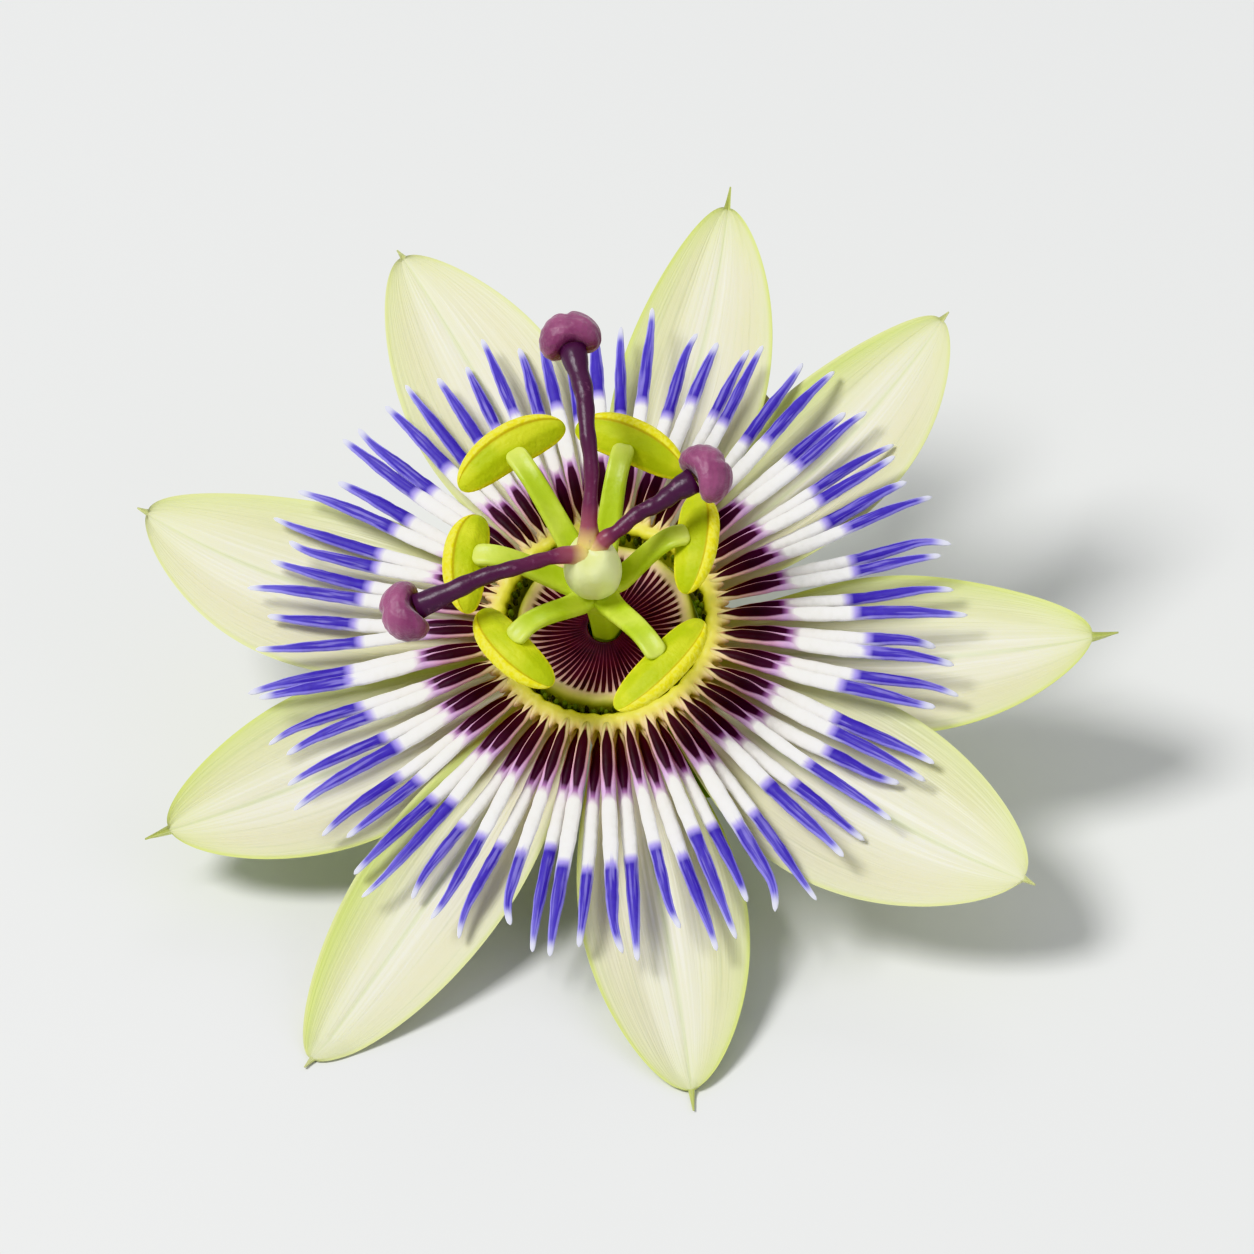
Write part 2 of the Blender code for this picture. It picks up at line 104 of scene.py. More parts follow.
# Cross-sections of the rings; the lower one runs down to the cup's rim
RINGS = {
    "corona_lower": (
        (10.9, -1.2), (10.4, -0.75), (9.7, -0.65), (9.2, -0.9), (9.0, -1.9), (8.7, -3.3),
        (9.2, -3.5), (9.8, -2.4), (10.5, -1.7),
    ),
    "corona_upper": (
        (10.8, 0.2), (10.6, 0.6), (10.0, 0.85), (9.4, 0.6), (9.2, 0.1), (9.5, -0.35), (10.1, -0.5),
        (10.6, -0.3),
    ),
}

STYLE_FOOT = (0.75, 15.1)  # reach from the axis, and level
STAMEN_RISES = (4.9, 4.9, 4.6, 4.5, 4.5, 4.5)  # of each strap above the column's crown
ANTHER_HALF_LENGTHS = (5.7, 5.6, 5.1, 5.8, 5.1, 5.0)
STYLE_BOWS = ((2.0, -0.9), (0.3, 0.0), (1.2, 0.0))  # upwards and sideways

STALK_HALF = 1.5
STALK_LEVEL = 1.544  # of the lying stalk's middle line, above the surface

CAMERA_LENS = 200.0
CAMERA_AIM = (2.0, 0.8, -1.0)  # from the head's zero point, in millimetres
LIGHTS_AIM = (0.0, -0.008, 0.02)  # in metres, like the places below
LIGHTS = {  # place, size and strength
    "key_light": ((-0.55, -0.30, 0.90), 0.4, 10.4),
    "fill_light": ((0.75, -0.5, 0.5), 0.8, 1.8),
    "back_light": ((0.2, 0.8, 0.7), 0.5, 2.0),
}


# --- places taken from the frame


def node_points(name):
    """The separate points of a frame node, in metres."""
    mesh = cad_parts[name].data
    flat = np.empty(3 * len(mesh.vertices))
    mesh.vertices.foreach_get("co", flat)
    return np.unique(flat.reshape(-1, 3).round(7), axis=0)


def head_frame():
    """The head's zero point and its turn: the axis is the column's longest direction."""
    points = node_points("column")
    middle = points.mean(axis=0)
    axis = np.linalg.svd(points - middle, full_matrices=False)[2][0]
    axis = axis * np.sign(axis[2])
    top = ((points - middle) @ axis).max()
    turn = Vector((0.0, 0.0, 1.0)).rotation_difference(Vector(axis)).to_matrix()
    return middle + axis * (top - COLUMN_TOP * MM), np.array(turn)


HEAD_ORIGIN, HEAD_TURN = head_frame()


def place(points):
    """Carries points from the head's frame, in millimetres, to the flower's place in metres."""
    return HEAD_ORIGIN + (points * MM) @ HEAD_TURN.T


def in_head(name):
    """A node's points in the head's frame, in millimetres."""
    return (node_points(name) - HEAD_ORIGIN) @ HEAD_TURN / MM


def outer_end(name, length):
    """A node's reach from the head's axis, and the middle of its outermost part of this length."""
    points = in_head(name)
    reach = np.hypot(points[:, 0], points[:, 1])
    return reach.max(), points[reach > reach.max() - length].mean(axis=0)


def far_end(name):
    """Reach and azimuth of the end of a node that is furthest from the head's axis."""
    reach, end = outer_end(name, 0.25)
    return reach, math.atan2(end[1], end[0])


def main_axes(name):
    """A node's middle and its directions, from the longest to the shortest, in the head's frame."""
    points = in_head(name)
    middle = points.mean(axis=0)
    axes = np.linalg.svd(points - middle, full_matrices=False)[2]
    return middle, axes


# --- surfaces


def full_turn(count):
    """Angles spaced evenly round a circle, in radians."""
    return np.arange(count) * (2.0 * math.pi / count)


def grow(value, start, end):
    """Rises evenly from 0 at start to 1 at end, and stays level on both sides."""
    return np.clip((value - start) / (end - start), 0.0, 1.0)


def power(value, exponent):
    """A power that keeps the value's sign."""
    return np.sign(value) * np.abs(value) ** exponent


def bell(value, middle, spread):
    """A smooth hump of height one."""
    return np.exp(-(((value - middle) / spread) ** 2))


def polar(radius, azimuth, height):
    """Points at a radius and an azimuth in radians, at a height."""
    return np.stack(
        np.broadcast_arrays(radius * np.cos(azimuth), radius * np.sin(azimuth), height), axis=-1
    )


def swing(points, azimuth):
    """Points laid out along the first direction, turned about the axis to an azimuth."""
    cos, sin = math.cos(azimuth), math.sin(azimuth)
    return points @ np.array(((cos, sin, 0.0), (-sin, cos, 0.0), (0.0, 0.0, 1.0)))


def loft(name, rings, values=None, shut=False, in_frame=True):
    """A mesh through rings[tube, station, around], whose three coordinates come last.

    Each ring is closed. Each tube ends in a pole at the middle of its end ring, or where shut is
    set runs back into its first station. values holds point attributes, as arrays that spread to
    the rings' shape. Faces that come out turned inside, by the signed volume, are reversed.
    """
    tubes, stations, around = rings.shape[:3]
    index = np.arange(tubes * stations * around).reshape(tubes, stations, around)
    here = index if shut else index[:, :-1]
    there = np.roll(index, -1, axis=1) if shut else index[:, 1:]
    quads = np.stack((here, np.roll(here, -1, 2), np.roll(there, -1, 2), there), axis=-1)
    quads = quads.reshape(-1, 4)
    points = rings.reshape(-1, 3)
    fans = np.empty((0, 3), dtype=int)
    if not shut:
        ends = rings[:, [0, -1]].mean(axis=2)
        poles = len(points) + np.arange(2 * tubes).reshape(tubes, 2)
        points = np.concatenate((points, ends.reshape(-1, 3)))
        first, last = index[:, 0], index[:, -1]
        near = np.broadcast_to(poles[:, :1], first.shape)
        far = np.broadcast_to(poles[:, 1:], last.shape)
        fans = np.concatenate((
            np.stack((near, np.roll(first, -1, 1), first), axis=-1).reshape(-1, 3),
            np.stack((far, last, np.roll(last, -1, 1)), axis=-1).reshape(-1, 3),
        ))
    if in_frame:
        points = place(points)
    corner = points[np.concatenate((quads[:, :3], quads[:, [0, 2, 3]], fans))]
    if (corner[:, 0] * np.cross(corner[:, 1], corner[:, 2])).sum() < 0.0:
        quads, fans = quads[:, ::-1], fans[:, ::-1]
    mesh = bpy.data.meshes.new(name)
    mesh.from_pydata(points.tolist(), [], quads.tolist() + fans.tolist())
    for label, value in (values or {}).items():
        value = np.broadcast_to(value, rings.shape[:3])
        flat = value.reshape(-1)
        if not shut:
            flat = np.concatenate((flat, value[:, [0, -1]].mean(axis=2).reshape(-1)))
        layer = mesh.attributes.new(label, "FLOAT", "POINT")
        layer.data.foreach_set("value", flat.astype(np.float32))
    mesh.shade_smooth()
    return mesh


def show(name, data):
    """Adds an object with this data to the scene."""
    made = bpy.data.objects.new(name, data)
    bpy.context.scene.collection.objects.link(made)
    return made


def add_piece(name, mesh, material, slot, *nodes):
    """Shows a mesh as a piece of the flower, in the place of the nodes that it stands for."""
    made = show(name, mesh)
    mesh.materials.append(material)
    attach(made, BODY)
    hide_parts(*nodes)


def turned(profile, steps, relief=None):
    """A closed profile of (radius, height) points carried round the head's axis.

    relief(radius, height, azimuth) gives what is added to the radius and to the height.
    """
    radius, height = profile.T
    azimuth = full_turn(steps)[:, None]
    if relief:
        outwards, upwards = relief(radius, height, azimuth)
        radius, height = radius + outwards, height + upwards
    return polar(radius, azimuth, height)[None]


def smooth_profile(knots, count, shut=True):
    """count points evenly spaced in parameter on a rounded line through the knots.

    Each knot pulls its neighbours by the usual uniform cubic blend (B-spline), which rounds
    every corner of the line.
    """
    knots = np.array(knots, dtype=float)
    if shut:
        place_in = np.arange(count) * (len(knots) / count)
        whole = place_in.astype(int)
    else:
        knots = np.concatenate((2 * knots[:1] - knots[1:2], knots, 2 * knots[-1:] - knots[-2:-1]))
        place_in = np.linspace(0.0, len(knots) - 3.0, count)
        whole = np.minimum(place_in.astype(int), len(knots) - 4)
    part = (place_in - whole)[:, None]
    weights = (
        (1 - part) ** 3 / 6,
        (3 * part**3 - 6 * part**2 + 4) / 6,
        (-3 * part**3 + 3 * part**2 + 3 * part + 1) / 6,
        part**3 / 6,
    )
    return sum(weight * knots[(whole + step) % len(knots)] for step, weight in enumerate(weights))


def tube_rings(path, half_wide, half_high, around, upward=(0.0, 0.0, 1.0), square=1.0):
    """Rings round a path[tube, station]: side times cosine plus top times sine of the turn.

    side stands across both the path and upward, and top across the path and side. Cosine and sine
    are raised to the power square, with their signs kept, so below 1 the ring is a rounded bar.
    """
    along = np.gradient(path, axis=1)
    along /= np.linalg.norm(along, axis=-1, keepdims=True)
    side = np.cross(along, np.broadcast_to(upward, along.shape))
    side /= np.linalg.norm(side, axis=-1, keepdims=True)
    top = np.cross(side, along)
    turn = full_turn(around)
    wide = (half_wide[..., None] * power(np.cos(turn), square))[..., None]
    high = (half_high[..., None] * power(np.sin(turn), square))[..., None]
    return path[:, :, None] + wide * side[:, :, None] + high * top[:, :, None], turn


# --- finishes


def srgb(red, green, blue):
    """A display colour from 0 to 255, as linear light."""
    share = np.array((red, green, blue)) / 255.0
    linear = np.where(share <= 0.04045, share / 12.92, ((share + 0.055) / 1.055) ** 2.4)
    return (*linear.tolist(), 1.0)


class Finish:
    """A material being mixed: each call adds a step and returns what it gives."""

    def __init__(self, name, roughness=0.5, sheen=0.0, depth=0.0, reds=(1.0, 0.9, 0.5), gloss=0.35):
        self.material = bpy.data.materials.new(name)
        self.material.use_nodes = True
        self.tree = self.material.node_tree
        self.shader = self.tree.nodes["Principled BSDF"]
        self.shader.inputs["Roughness"].default_value = roughness
        self.shader.inputs["Specular IOR Level"].default_value = gloss
        self.shader.inputs["Sheen Weight"].default_value = sheen
        if depth:
            self.shader.inputs["Subsurface Weight"].default_value = depth
            self.shader.inputs["Subsurface Radius"].default_value = reds
            self.shader.inputs["Subsurface Scale"].default_value = 1.2 * MM

    def feed(self, socket, value):
        """Links the result of another step to a socket, or sets a plain value on it."""
        if isinstance(value, bpy.types.NodeSocket):
            self.tree.links.new(value, socket)
        else:
            socket.default_value = value

    def step(self, kind, *values, **traits):
        """Adds a step, sets its traits, and feeds the values to its first sockets in order."""
        made = self.tree.nodes.new("ShaderNode" + kind)
        for name, trait in traits.items():
            setattr(made, name, trait)
        for socket, value in zip(made.inputs, values):
            self.feed(socket, value)
        return made

    def attribute(self, name):
        """A value that the mesh carries at its points."""
        return self.step("Attribute", attribute_name=name).outputs["Fac"]

    def work(self, kind, first, second=0.0):
        """One step of arithmetic on one or two values."""
        return self.step("Math", first, second, operation=kind).outputs[0]

    def times(self, first, second):
        """First times second."""
        return self.work("MULTIPLY", first, second)

    def size(self, value):
        """The value without its sign."""
        return self.work("ABSOLUTE", value)

    def span(self, value, low, high, start=0.0, end=1.0, smooth=True):
        """Goes from start at low to end at high, smoothly or evenly, and is level on both sides."""
        kind = "SMOOTHSTEP" if smooth else "LINEAR"
        made = self.step("MapRange", value, low, high, start, end, interpolation_type=kind)
        return made.outputs[0]

    def ramp(self, value, stops, light=srgb):
        """Colours at stops of the value, blended evenly from each to the next.

        light turns the numbers that follow a stop's place into linear light.
        """
        low, high = stops[0][0], stops[-1][0]
        made = self.step("ValToRGB", self.span(value, low, high, smooth=False))
        points = made.color_ramp.elements
        while len(points) < len(stops):
            points.new(1.0)
        for point, (place_at, *colour) in zip(points, stops):
            point.position = (place_at - low) / (high - low)
            point.color = light(*colour)
        return made.outputs[0]

    def mix(self, share, first, second, kind="MIX"):
        """The first colour, with a share of the second mixed in."""
        made = self.step("Mix", share, data_type="RGBA", blend_type=kind)
        self.feed(made.inputs[6], first)
        self.feed(made.inputs[7], second)
        return made.outputs[2]

    def noise(self, scale, vector=None, detail=3.0):
        """Soft random values, over the object itself unless a vector is given."""
        if vector is None:
            vector = self.step("TexCoord").outputs["Object"]
        return self.step("TexNoise", vector, 0.0, scale, detail).outputs["Fac"]

    def vector(self, x, y, z=0.0):
        """Three values taken together as a place."""
        return self.step("CombineXYZ", x, y, z).outputs[0]

    def bump(self, height, distance):
        """Raises the skin by the height times a distance in millimetres."""
        made = self.step("Bump", 1.0, distance * MM)
        self.feed(made.inputs["Height"], height)
        self.feed(self.shader.inputs["Normal"], made.outputs[0])

    def colour(self, value):
        """Sets the finished colour."""
        self.feed(self.shader.inputs["Base Color"], value)

    def roughness(self, value):
        """Sets the finished roughness."""
        self.feed(self.shader.inputs["Roughness"], value)


def tepal_finish(name, cream, rim, tip, back):
    """Cream inside with a green rim and fine veins that run along it, and its own back colour."""
    finish = Finish(name, roughness=0.45, sheen=0.08, depth=0.25)
    along, across = finish.attribute("along"), finish.attribute("across")
    edge = finish.attribute("edge")
    run, tint = finish.times(along, 2.2), finish.attribute("tint")
    streaks = finish.noise(1.0, finish.vector(finish.times(across, 26.0), run, tint), 2.0)
    broad = finish.noise(1.0, finish.vector(finish.times(across, 1.5), run, tint), 1.0)
    face = finish.mix(finish.span(broad, 0.45, 0.75, 0.0, 0.7), cream, srgb(207, 205, 165))
    face = finish.mix(finish.span(streaks, 0.5, 0.78, 0.0, 0.55), face, srgb(194, 196, 161))
    # painted highlight: a lighter band down the middle of each tepal, broken up by the veins
    centre_highlight = finish.span(finish.size(across), 0.12, 0.62, 1.0, 0.0)
    centre_highlight = finish.times(centre_highlight, finish.span(streaks, 0.3, 0.6, 0.95, 0.45))
    face = finish.mix(centre_highlight, face, srgb(238, 235, 217))
    # painted shade: a darker green-grey line down the midrib, in the crease that its groove makes
    midrib = finish.span(finish.size(across), 0.0, 0.07, 0.5, 0.0)
    face = finish.mix(midrib, face, srgb(190, 200, 150))
    face = finish.mix(finish.span(along, 0.74, 1.0, 0.0, 0.6), face, tip)
    face = finish.mix(finish.span(edge, 0.3, 2.2, 0.3, 0.0), face, tip)
    face = finish.mix(finish.times(finish.attribute("flush"), 0.85), face, srgb(186, 204, 88))
    face = finish.mix(finish.span(edge, 0.08, 0.6, 0.9, 0.0), face, rim)
    reverse = finish.mix(finish.span(streaks, 0.4, 0.7), back, srgb(196, 208, 132))
    reverse = finish.mix(finish.span(edge, 0.2, 2.4, 1.0, 0.0), reverse, rim)
    finish.colour(finish.mix(finish.attribute("behind"), face, reverse))
    finish.roughness(finish.span(streaks, 0.3, 0.8, 0.36, 0.5))
    finish.bump(streaks, 0.08)
    return finish.material


def corona_finish():
    """Maroon, white and violet bands along the filaments, with a paler edge and a white tip."""
    finish = Finish("banded_filaments", roughness=0.5, depth=0.1, reds=(1.0, 0.9, 0.9), gloss=0.2)
    radius, side, left = (finish.attribute(name) for name in ("radius", "side", "left"))
    tint = finish.attribute("tint")
    place_on = finish.work("ADD", radius, finish.attribute("shift"))
    core = finish.ramp(place_on, (
        (10.0, 222, 214, 120), (10.6, 196, 150, 110), (10.95, 62, 22, 32), (14.0, 44, 12, 22),
        (16.2, 60, 24, 44), (16.7, 160, 108, 160), (17.4, 248, 245, 240), (22.5, 252, 250, 248),
        (23.1, 176, 162, 232), (23.7, 76, 62, 172), (29.0, 82, 69, 177), (32.0, 106, 96, 194),
    ))
    skirt = finish.ramp(place_on, (
        (10.0, 228, 220, 130), (11.2, 242, 220, 164), (12.8, 238, 196, 180),
        (15.2, 222, 170, 200), (16.6, 216, 178, 220), (18.2, 244, 242, 234),
        (22.8, 244, 244, 246), (23.6, 206, 202, 244), (24.8, 156, 146, 232),
        (30.5, 154, 146, 236), (33.0, 190, 190, 244),
    ))
    grain = finish.noise(1.0, finish.vector(finish.times(radius, 1.4), side, tint))
    lane = finish.vector(finish.times(radius, 0.22), finish.times(side, 2.2), tint)
    veil = finish.span(finish.noise(1.0, lane, 2.0), 0.48, 0.7, 0.0, 0.6)
    veil = finish.times(veil, finish.span(radius, 22.8, 24.0))
    core = finish.mix(veil, core, srgb(150, 140, 214))
    width = finish.span(radius, 10.4, 12.6, 0.0, 0.62)
    width = finish.times(width, finish.span(radius, 14.6, 17.2, 1.0, 0.4))
    width = finish.work("ADD", width, finish.span(radius, 17.0, 18.5, 0.12, 0.72))
    width = finish.work("SUBTRACT", width, finish.span(radius, 22.6, 24.5, 0.0, 0.16))
    width = finish.work("SUBTRACT", width, finish.span(left, 0.8, 6.5, 0.3, 0.0))
    share = finish.span(finish.work("SUBTRACT", width, finish.size(side)), -0.14, 0.14)
    share = finish.times(share, finish.span(finish.attribute("top"), -0.35, 0.1))
    shade = finish.mix(share, skirt, core)
    shade = finish.mix(finish.span(left, 0.4, 1.8, 0.95, 0.0), shade, srgb(236, 236, 250))
    # a faint greenish-grey darkening that comes and goes at random along the filaments
    grey_mottle = finish.span(grain, 0.35, 0.8, 0.0, 0.18)
    finish.colour(finish.mix(grey_mottle, shade, srgb(170, 172, 150), "MULTIPLY"))
    finish.bump(grain, 0.06)
    return finish.material


def ring_finish():
    """Yellow on its crown, and cream to pink where its teeth run out between the filaments."""
    finish = Finish("yellow_ring", roughness=0.45, depth=0.15)
    grain = finish.noise(900.0)
    shade = finish.ramp(finish.attribute("radius"), (
        (9.0, 186, 188, 52), (9.6, 234, 226, 84), (10.3, 240, 226, 112), (10.9, 246, 222, 156),
        (11.6, 240, 202, 178), (12.3, 220, 172, 190),
    ))
    finish.colour(finish.mix(finish.span(grain, 0.4, 0.75, 0.0, 0.35), shade, srgb(190, 190, 70)))
    finish.bump(grain, 0.1)
    return finish.material


def cover_finish():
    """A pale green crest, then a dark purple fringe crossed by fine pinkish lines."""
    finish = Finish("nectar_cover", roughness=0.45, depth=0.1)
    radius, line = finish.attribute("radius"), finish.attribute("line")
    grain = finish.noise(700.0)
    crest = finish.ramp(radius, (
        (6.6, 226, 182, 162), (7.2, 234, 206, 160), (7.8, 226, 216, 116), (8.4, 176, 186, 58),
    ))
    crest = finish.mix(finish.span(grain, 0.45, 0.75, 0.0, 0.4), crest, srgb(190, 196, 90))
    dark = finish.mix(finish.span(grain, 0.35, 0.7), srgb(76, 24, 38), srgb(48, 10, 24))
    stops = ((1.6, 0.98), (3.4, 0.88), (5.6, 0.64), (6.6, 0.2), (7.1, 0.0))
    threshold = finish.ramp(radius, stops, light=lambda grey: (grey, grey, grey, 1.0))
    mark = finish.span(finish.work("SUBTRACT", line, threshold), -0.15, 0.15)
    lines = finish.ramp(radius, (
        (1.6, 92, 38, 56), (3.4, 140, 84, 96), (5.4, 190, 136, 140), (6.6, 232, 190, 176),
        (7.4, 236, 222, 164),
    ))
    fringe = finish.mix(mark, dark, lines)
    finish.colour(finish.mix(finish.span(radius, 6.75, 7.25), fringe, crest))
    finish.bump(grain, 0.08)
    return finish.material


def knob_finish():
    """Each knob takes its own tone between nearly black and dark green."""
    finish = Finish("dark_knobs", roughness=0.4)
    share = finish.span(finish.attribute("tint"), 0.35, 0.65)
    finish.colour(finish.mix(share, srgb(26, 24, 12), srgb(92, 112, 26)))
    finish.bump(finish.noise(1500.0), 0.06)
    return finish.material


def soft_finish(name, main, second, scale, roughness, bump=0.08):
    """Two tones that drift over the surface, with a fine skin."""
    finish = Finish(name, roughness=roughness, depth=0.15)
    drift = finish.noise(scale)
    skin = finish.noise(scale * 6.0)
    finish.colour(finish.mix(finish.span(drift, 0.35, 0.68), main, second))
    finish.roughness(finish.span(skin, 0.3, 0.7, roughness - 0.06, roughness + 0.08))
    finish.bump(skin, bump)
    return finish.material


def strap_finish():
    """Lime green along the strap and paler towards its blunt end."""
    finish = Finish("strap_skin", roughness=0.4, depth=0.12)
    drift = finish.span(finish.noise(300.0), 0.35, 0.7)
    shade = finish.mix(drift, srgb(174, 196, 56), srgb(200, 214, 88))
    end = finish.span(finish.attribute("along"), 0.7, 1.0, 0.0, 0.6)
    finish.colour(finish.mix(end, shade, srgb(216, 222, 116)))
    finish.bump(finish.noise(1500.0), 0.06)
    return finish.material


def anther_finish():
    """A green back that turns to powdery yellow at its rim, with a darker slit inside the rim."""
    finish = Finish("anther", roughness=0.6, depth=0.12)
    across = finish.attribute("across")
    powder = finish.noise(2600.0, detail=4.0)
    drift = finish.span(finish.noise(260.0), 0.35, 0.7)
    back = finish.mix(drift, srgb(174, 188, 32), srgb(204, 208, 56))
    rim = finish.mix(finish.span(powder, 0.35, 0.65), srgb(228, 218, 30), srgb(240, 234, 84))
    lips = finish.work("MAXIMUM", finish.span(across, 0.5, 0.78), finish.span(across, -0.72, -0.94))
    shade = finish.mix(lips, back, rim)
    slit = finish.span(across, 0.54, 0.62, 0.0, 0.6)
    slit = finish.times(slit, finish.span(across, 0.64, 0.74, 1.0, 0.0))
    shade = finish.mix(slit, shade, srgb(178, 140, 16))
    pollen = finish.mix(finish.span(powder, 0.4, 0.6), srgb(238, 210, 40), srgb(214, 176, 20))
    finish.colour(finish.mix(finish.attribute("under"), shade, pollen))
    finish.bump(powder, 0.1)
    return finish.material


def style_finish():
    """Yellowish at the ovary, then dark purple with lighter flecks."""
    finish = Finish("style", roughness=0.38, depth=0.06)
    shade = finish.ramp(finish.attribute("along"), (
        (0.0, 222, 212, 116), (0.035, 214, 186, 118), (0.085, 150, 84, 96), (0.18, 106, 54, 78),
        (0.5, 80, 46, 68), (1.0, 76, 48, 70),
    ))
    flecks = finish.noise(1400.0)
    finish.colour(finish.mix(finish.span(flecks, 0.6, 0.75, 0.0, 0.5), shade, srgb(140, 98, 122)))
    finish.bump(flecks, 0.08)
    return finish.material


def stigma_finish():
    """Mauve on the cap's top, redder below and darker there as painted shade, with a velvety skin.
    """
    finish = Finish("stigma_velvet", roughness=0.46, depth=0.08, sheen=0.35, gloss=0.5)
    drift = finish.span(finish.noise(300.0), 0.35, 0.68)
    skin = finish.noise(1800.0, detail=4.0)
    upper = finish.mix(drift, srgb(150, 80, 118), srgb(124, 58, 96))
    # the cap's underside is redder, and its darker tones are painted shade
    lower = finish.mix(drift, srgb(122, 42, 66), srgb(90, 26, 48))
    shade = finish.mix(finish.span(finish.attribute("up"), -0.45, 0.5), lower, upper)
    finish.colour(finish.mix(finish.span(skin, 0.55, 0.8, 0.0, 0.35), shade, srgb(178, 112, 144)))
    finish.bump(skin, 0.14)
    return finish.material


def leaf_finish(name, main, second, vein):
    """A leaf's green with paler veins that leave the midrib."""
    finish = Finish(name, roughness=0.48, depth=0.12)
    across, along = finish.attribute("across"), finish.attribute("along")
    out = finish.size(across)
    shade = finish.mix(finish.span(finish.noise(220.0), 0.35, 0.7), main, second)
    rows = finish.work("SUBTRACT", finish.times(along, 7.0), finish.times(out, 2.0))
    wave = finish.size(finish.work("SUBTRACT", finish.work("FRACT", rows), 0.5))
    ribs = finish.span(wave, 0.0, 0.09, 0.55, 0.0)
    ribs = finish.times(ribs, finish.span(along, 0.5, 0.8, 1.0, 0.0))
    shade = finish.mix(ribs, shade, vein)
    finish.colour(finish.mix(finish.span(out, 0.02, 0.09, 0.9, 0.0), shade, vein))
    finish.bump(ribs, 0.1)
    return finish.material


def stalk_finish():
    """Green with a brown flush along it, and a paler cut end with a darker rim."""
    finish = Finish("stalk", roughness=0.5, depth=0.08)
    along = finish.attribute("along")
    around = (finish.times(finish.attribute(name), 2.6) for name in ("cosine", "sine"))
    drift = finish.noise(1.0, finish.vector(finish.times(along, 3.5), *around))
    shade = finish.mix(finish.span(drift, 0.38, 0.7), srgb(140, 158, 62), srgb(112, 112, 58))
    shade = finish.mix(finish.span(along, 0.55, 1.0, 0.0, 0.45), shade, srgb(122, 98, 66))
    cut = finish.span(finish.attribute("cut"), 0.2, 0.8)
    finish.colour(finish.mix(cut, shade, srgb(214, 216, 160)))
    finish.bump(finish.noise(900.0), 0.08)
    return finish.material


# --- pieces


def tepal_half_width(blade, widest):
    """Half width of the blade: a narrow root, then a swell that closes bluntly at the tip.

    The swell is the sine of pi times blade to the power 1.05, to the power 0.6.
    """
    swell = np.sin(math.pi * np.clip(blade, 0.0, 1.0) ** 1.05).clip(0.0) ** 0.6
    swell = swell * (1.0 - 0.55 * (1.0 - blade) ** 4)
    return 2.5 * (1.0 - blade) ** 2 + widest * swell


def tepal(name, shape, whorl, stations, seed):
    """A thin closed sheet that runs out from the head, with a groove along its middle.

    Its middle surface is the root level plus the lift, less the sag, plus the cupping, which is
    the square of the share across. Thickness falls towards the rim, and the awn is the last part.
    """
    sweep, widest, lift, flush = shape
    start, level, sag, awn = whorl
    tip, azimuth = far_end(name)
    rng = np.random.default_rng(seed)
    blade_end = 1.0 - awn / (tip - start)
    blade_part = 1.0 - (1.0 - np.linspace(0.0, 1.0, stations)) ** 1.7
    awn_part = np.linspace(0.0, 1.0, 9)[1:]
    u = np.concatenate((blade_part * blade_end, blade_end + awn_part * (1.0 - blade_end)))[:, None]
    blade = np.minimum(u / blade_end, 1.0)
    horn = grow(u, blade_end, 1.0)
    w = tepal_half_width(blade, widest) + 0.32 - 0.24 * horn**0.8
    turn = full_turn(TEPAL_AROUND)
    across, face = np.cos(turn), power(np.sin(turn), 0.6)
    out = np.abs(across)
    calm = np.sin(math.pi * u.clip(0.0, 1.0)) ** 0.7

    radius = start + (tip - start) * u
    side = across * w + radius * math.radians(sweep) * (u**2 - 1.0)
    height = level + lift * u - 4.0 * sag * u * (1.0 - u)
    height = height + 0.7 * across**2 * np.sin(math.pi * u)
    wave = rng.uniform(0.12, 0.25)
    wave = wave * np.sin(2.0 * math.pi * (rng.uniform(1.0, 1.6) * u + rng.uniform()))
    height = height + wave * across * out * calm
    height = height + 0.55 * across**2 * blade**7 * (1.0 - horn)
    groove = -0.24 * bell(across, 0.0, 0.07) - 0.13 * bell(across, rng.uniform(0.3, 0.42), 0.1)
    groove = groove - 0.11 * bell(across, -rng.uniform(0.3, 0.46), 0.1)
    groove = groove + 0.06 * bell(out, 0.18, 0.08)
    dimple = np.sin(2.0 * math.pi * (1.7 * u + rng.uniform()))
    groove = groove + 0.2 * dimple * np.cos(2.3 * across + rng.uniform(0.0, 6.0))
    height = height + groove * calm * (1.0 - horn)
    thick = 0.3 * (1.0 - 0.5 * out**3) * (1.0 - 0.35 * u)
    thick = np.where(horn > 0.0, np.minimum(thick, w), thick)
    keel = 0.45 * bell(across, 0.0, 0.13) * (0.25 + 0.75 * u) * (1.0 - horn)
    lower = face * thick - (keel * (-face).clip(0.0) if whorl is SEPAL_WHORL else 0.0)

    floor = surface_level(radius, side, azimuth) + 0.3
    middle = np.maximum(height, floor)
    top = middle + np.where(face > 0.0, face * thick, np.maximum(lower, floor - 0.3 - middle))
    points = np.stack(np.broadcast_arrays(radius, side, top), axis=-1)
    values = {
        "along": u,
        "across": across,
        "edge": (1.0 - out) * w,
        "behind": np.sin(turn) < -0.05,
        "flush": abs(flush) * grow(np.sign(flush) * across, -0.05, 1.0) ** 2,
        "tint": rng.uniform(0.0, 9.0),
    }
    return loft(name + "_blade", swing(points, azimuth)[None], values)


def surface_level(radius, side, azimuth):
    """Height, in the head's frame, of the surface that the flower lies on."""
    downhill = radius * np.cos(azimuth - DOWNHILL) - side * np.sin(azimuth - DOWNHILL)
    return downhill * math.tan(HEAD_TILT) - HEAD_HEIGHT / math.cos(HEAD_TILT)


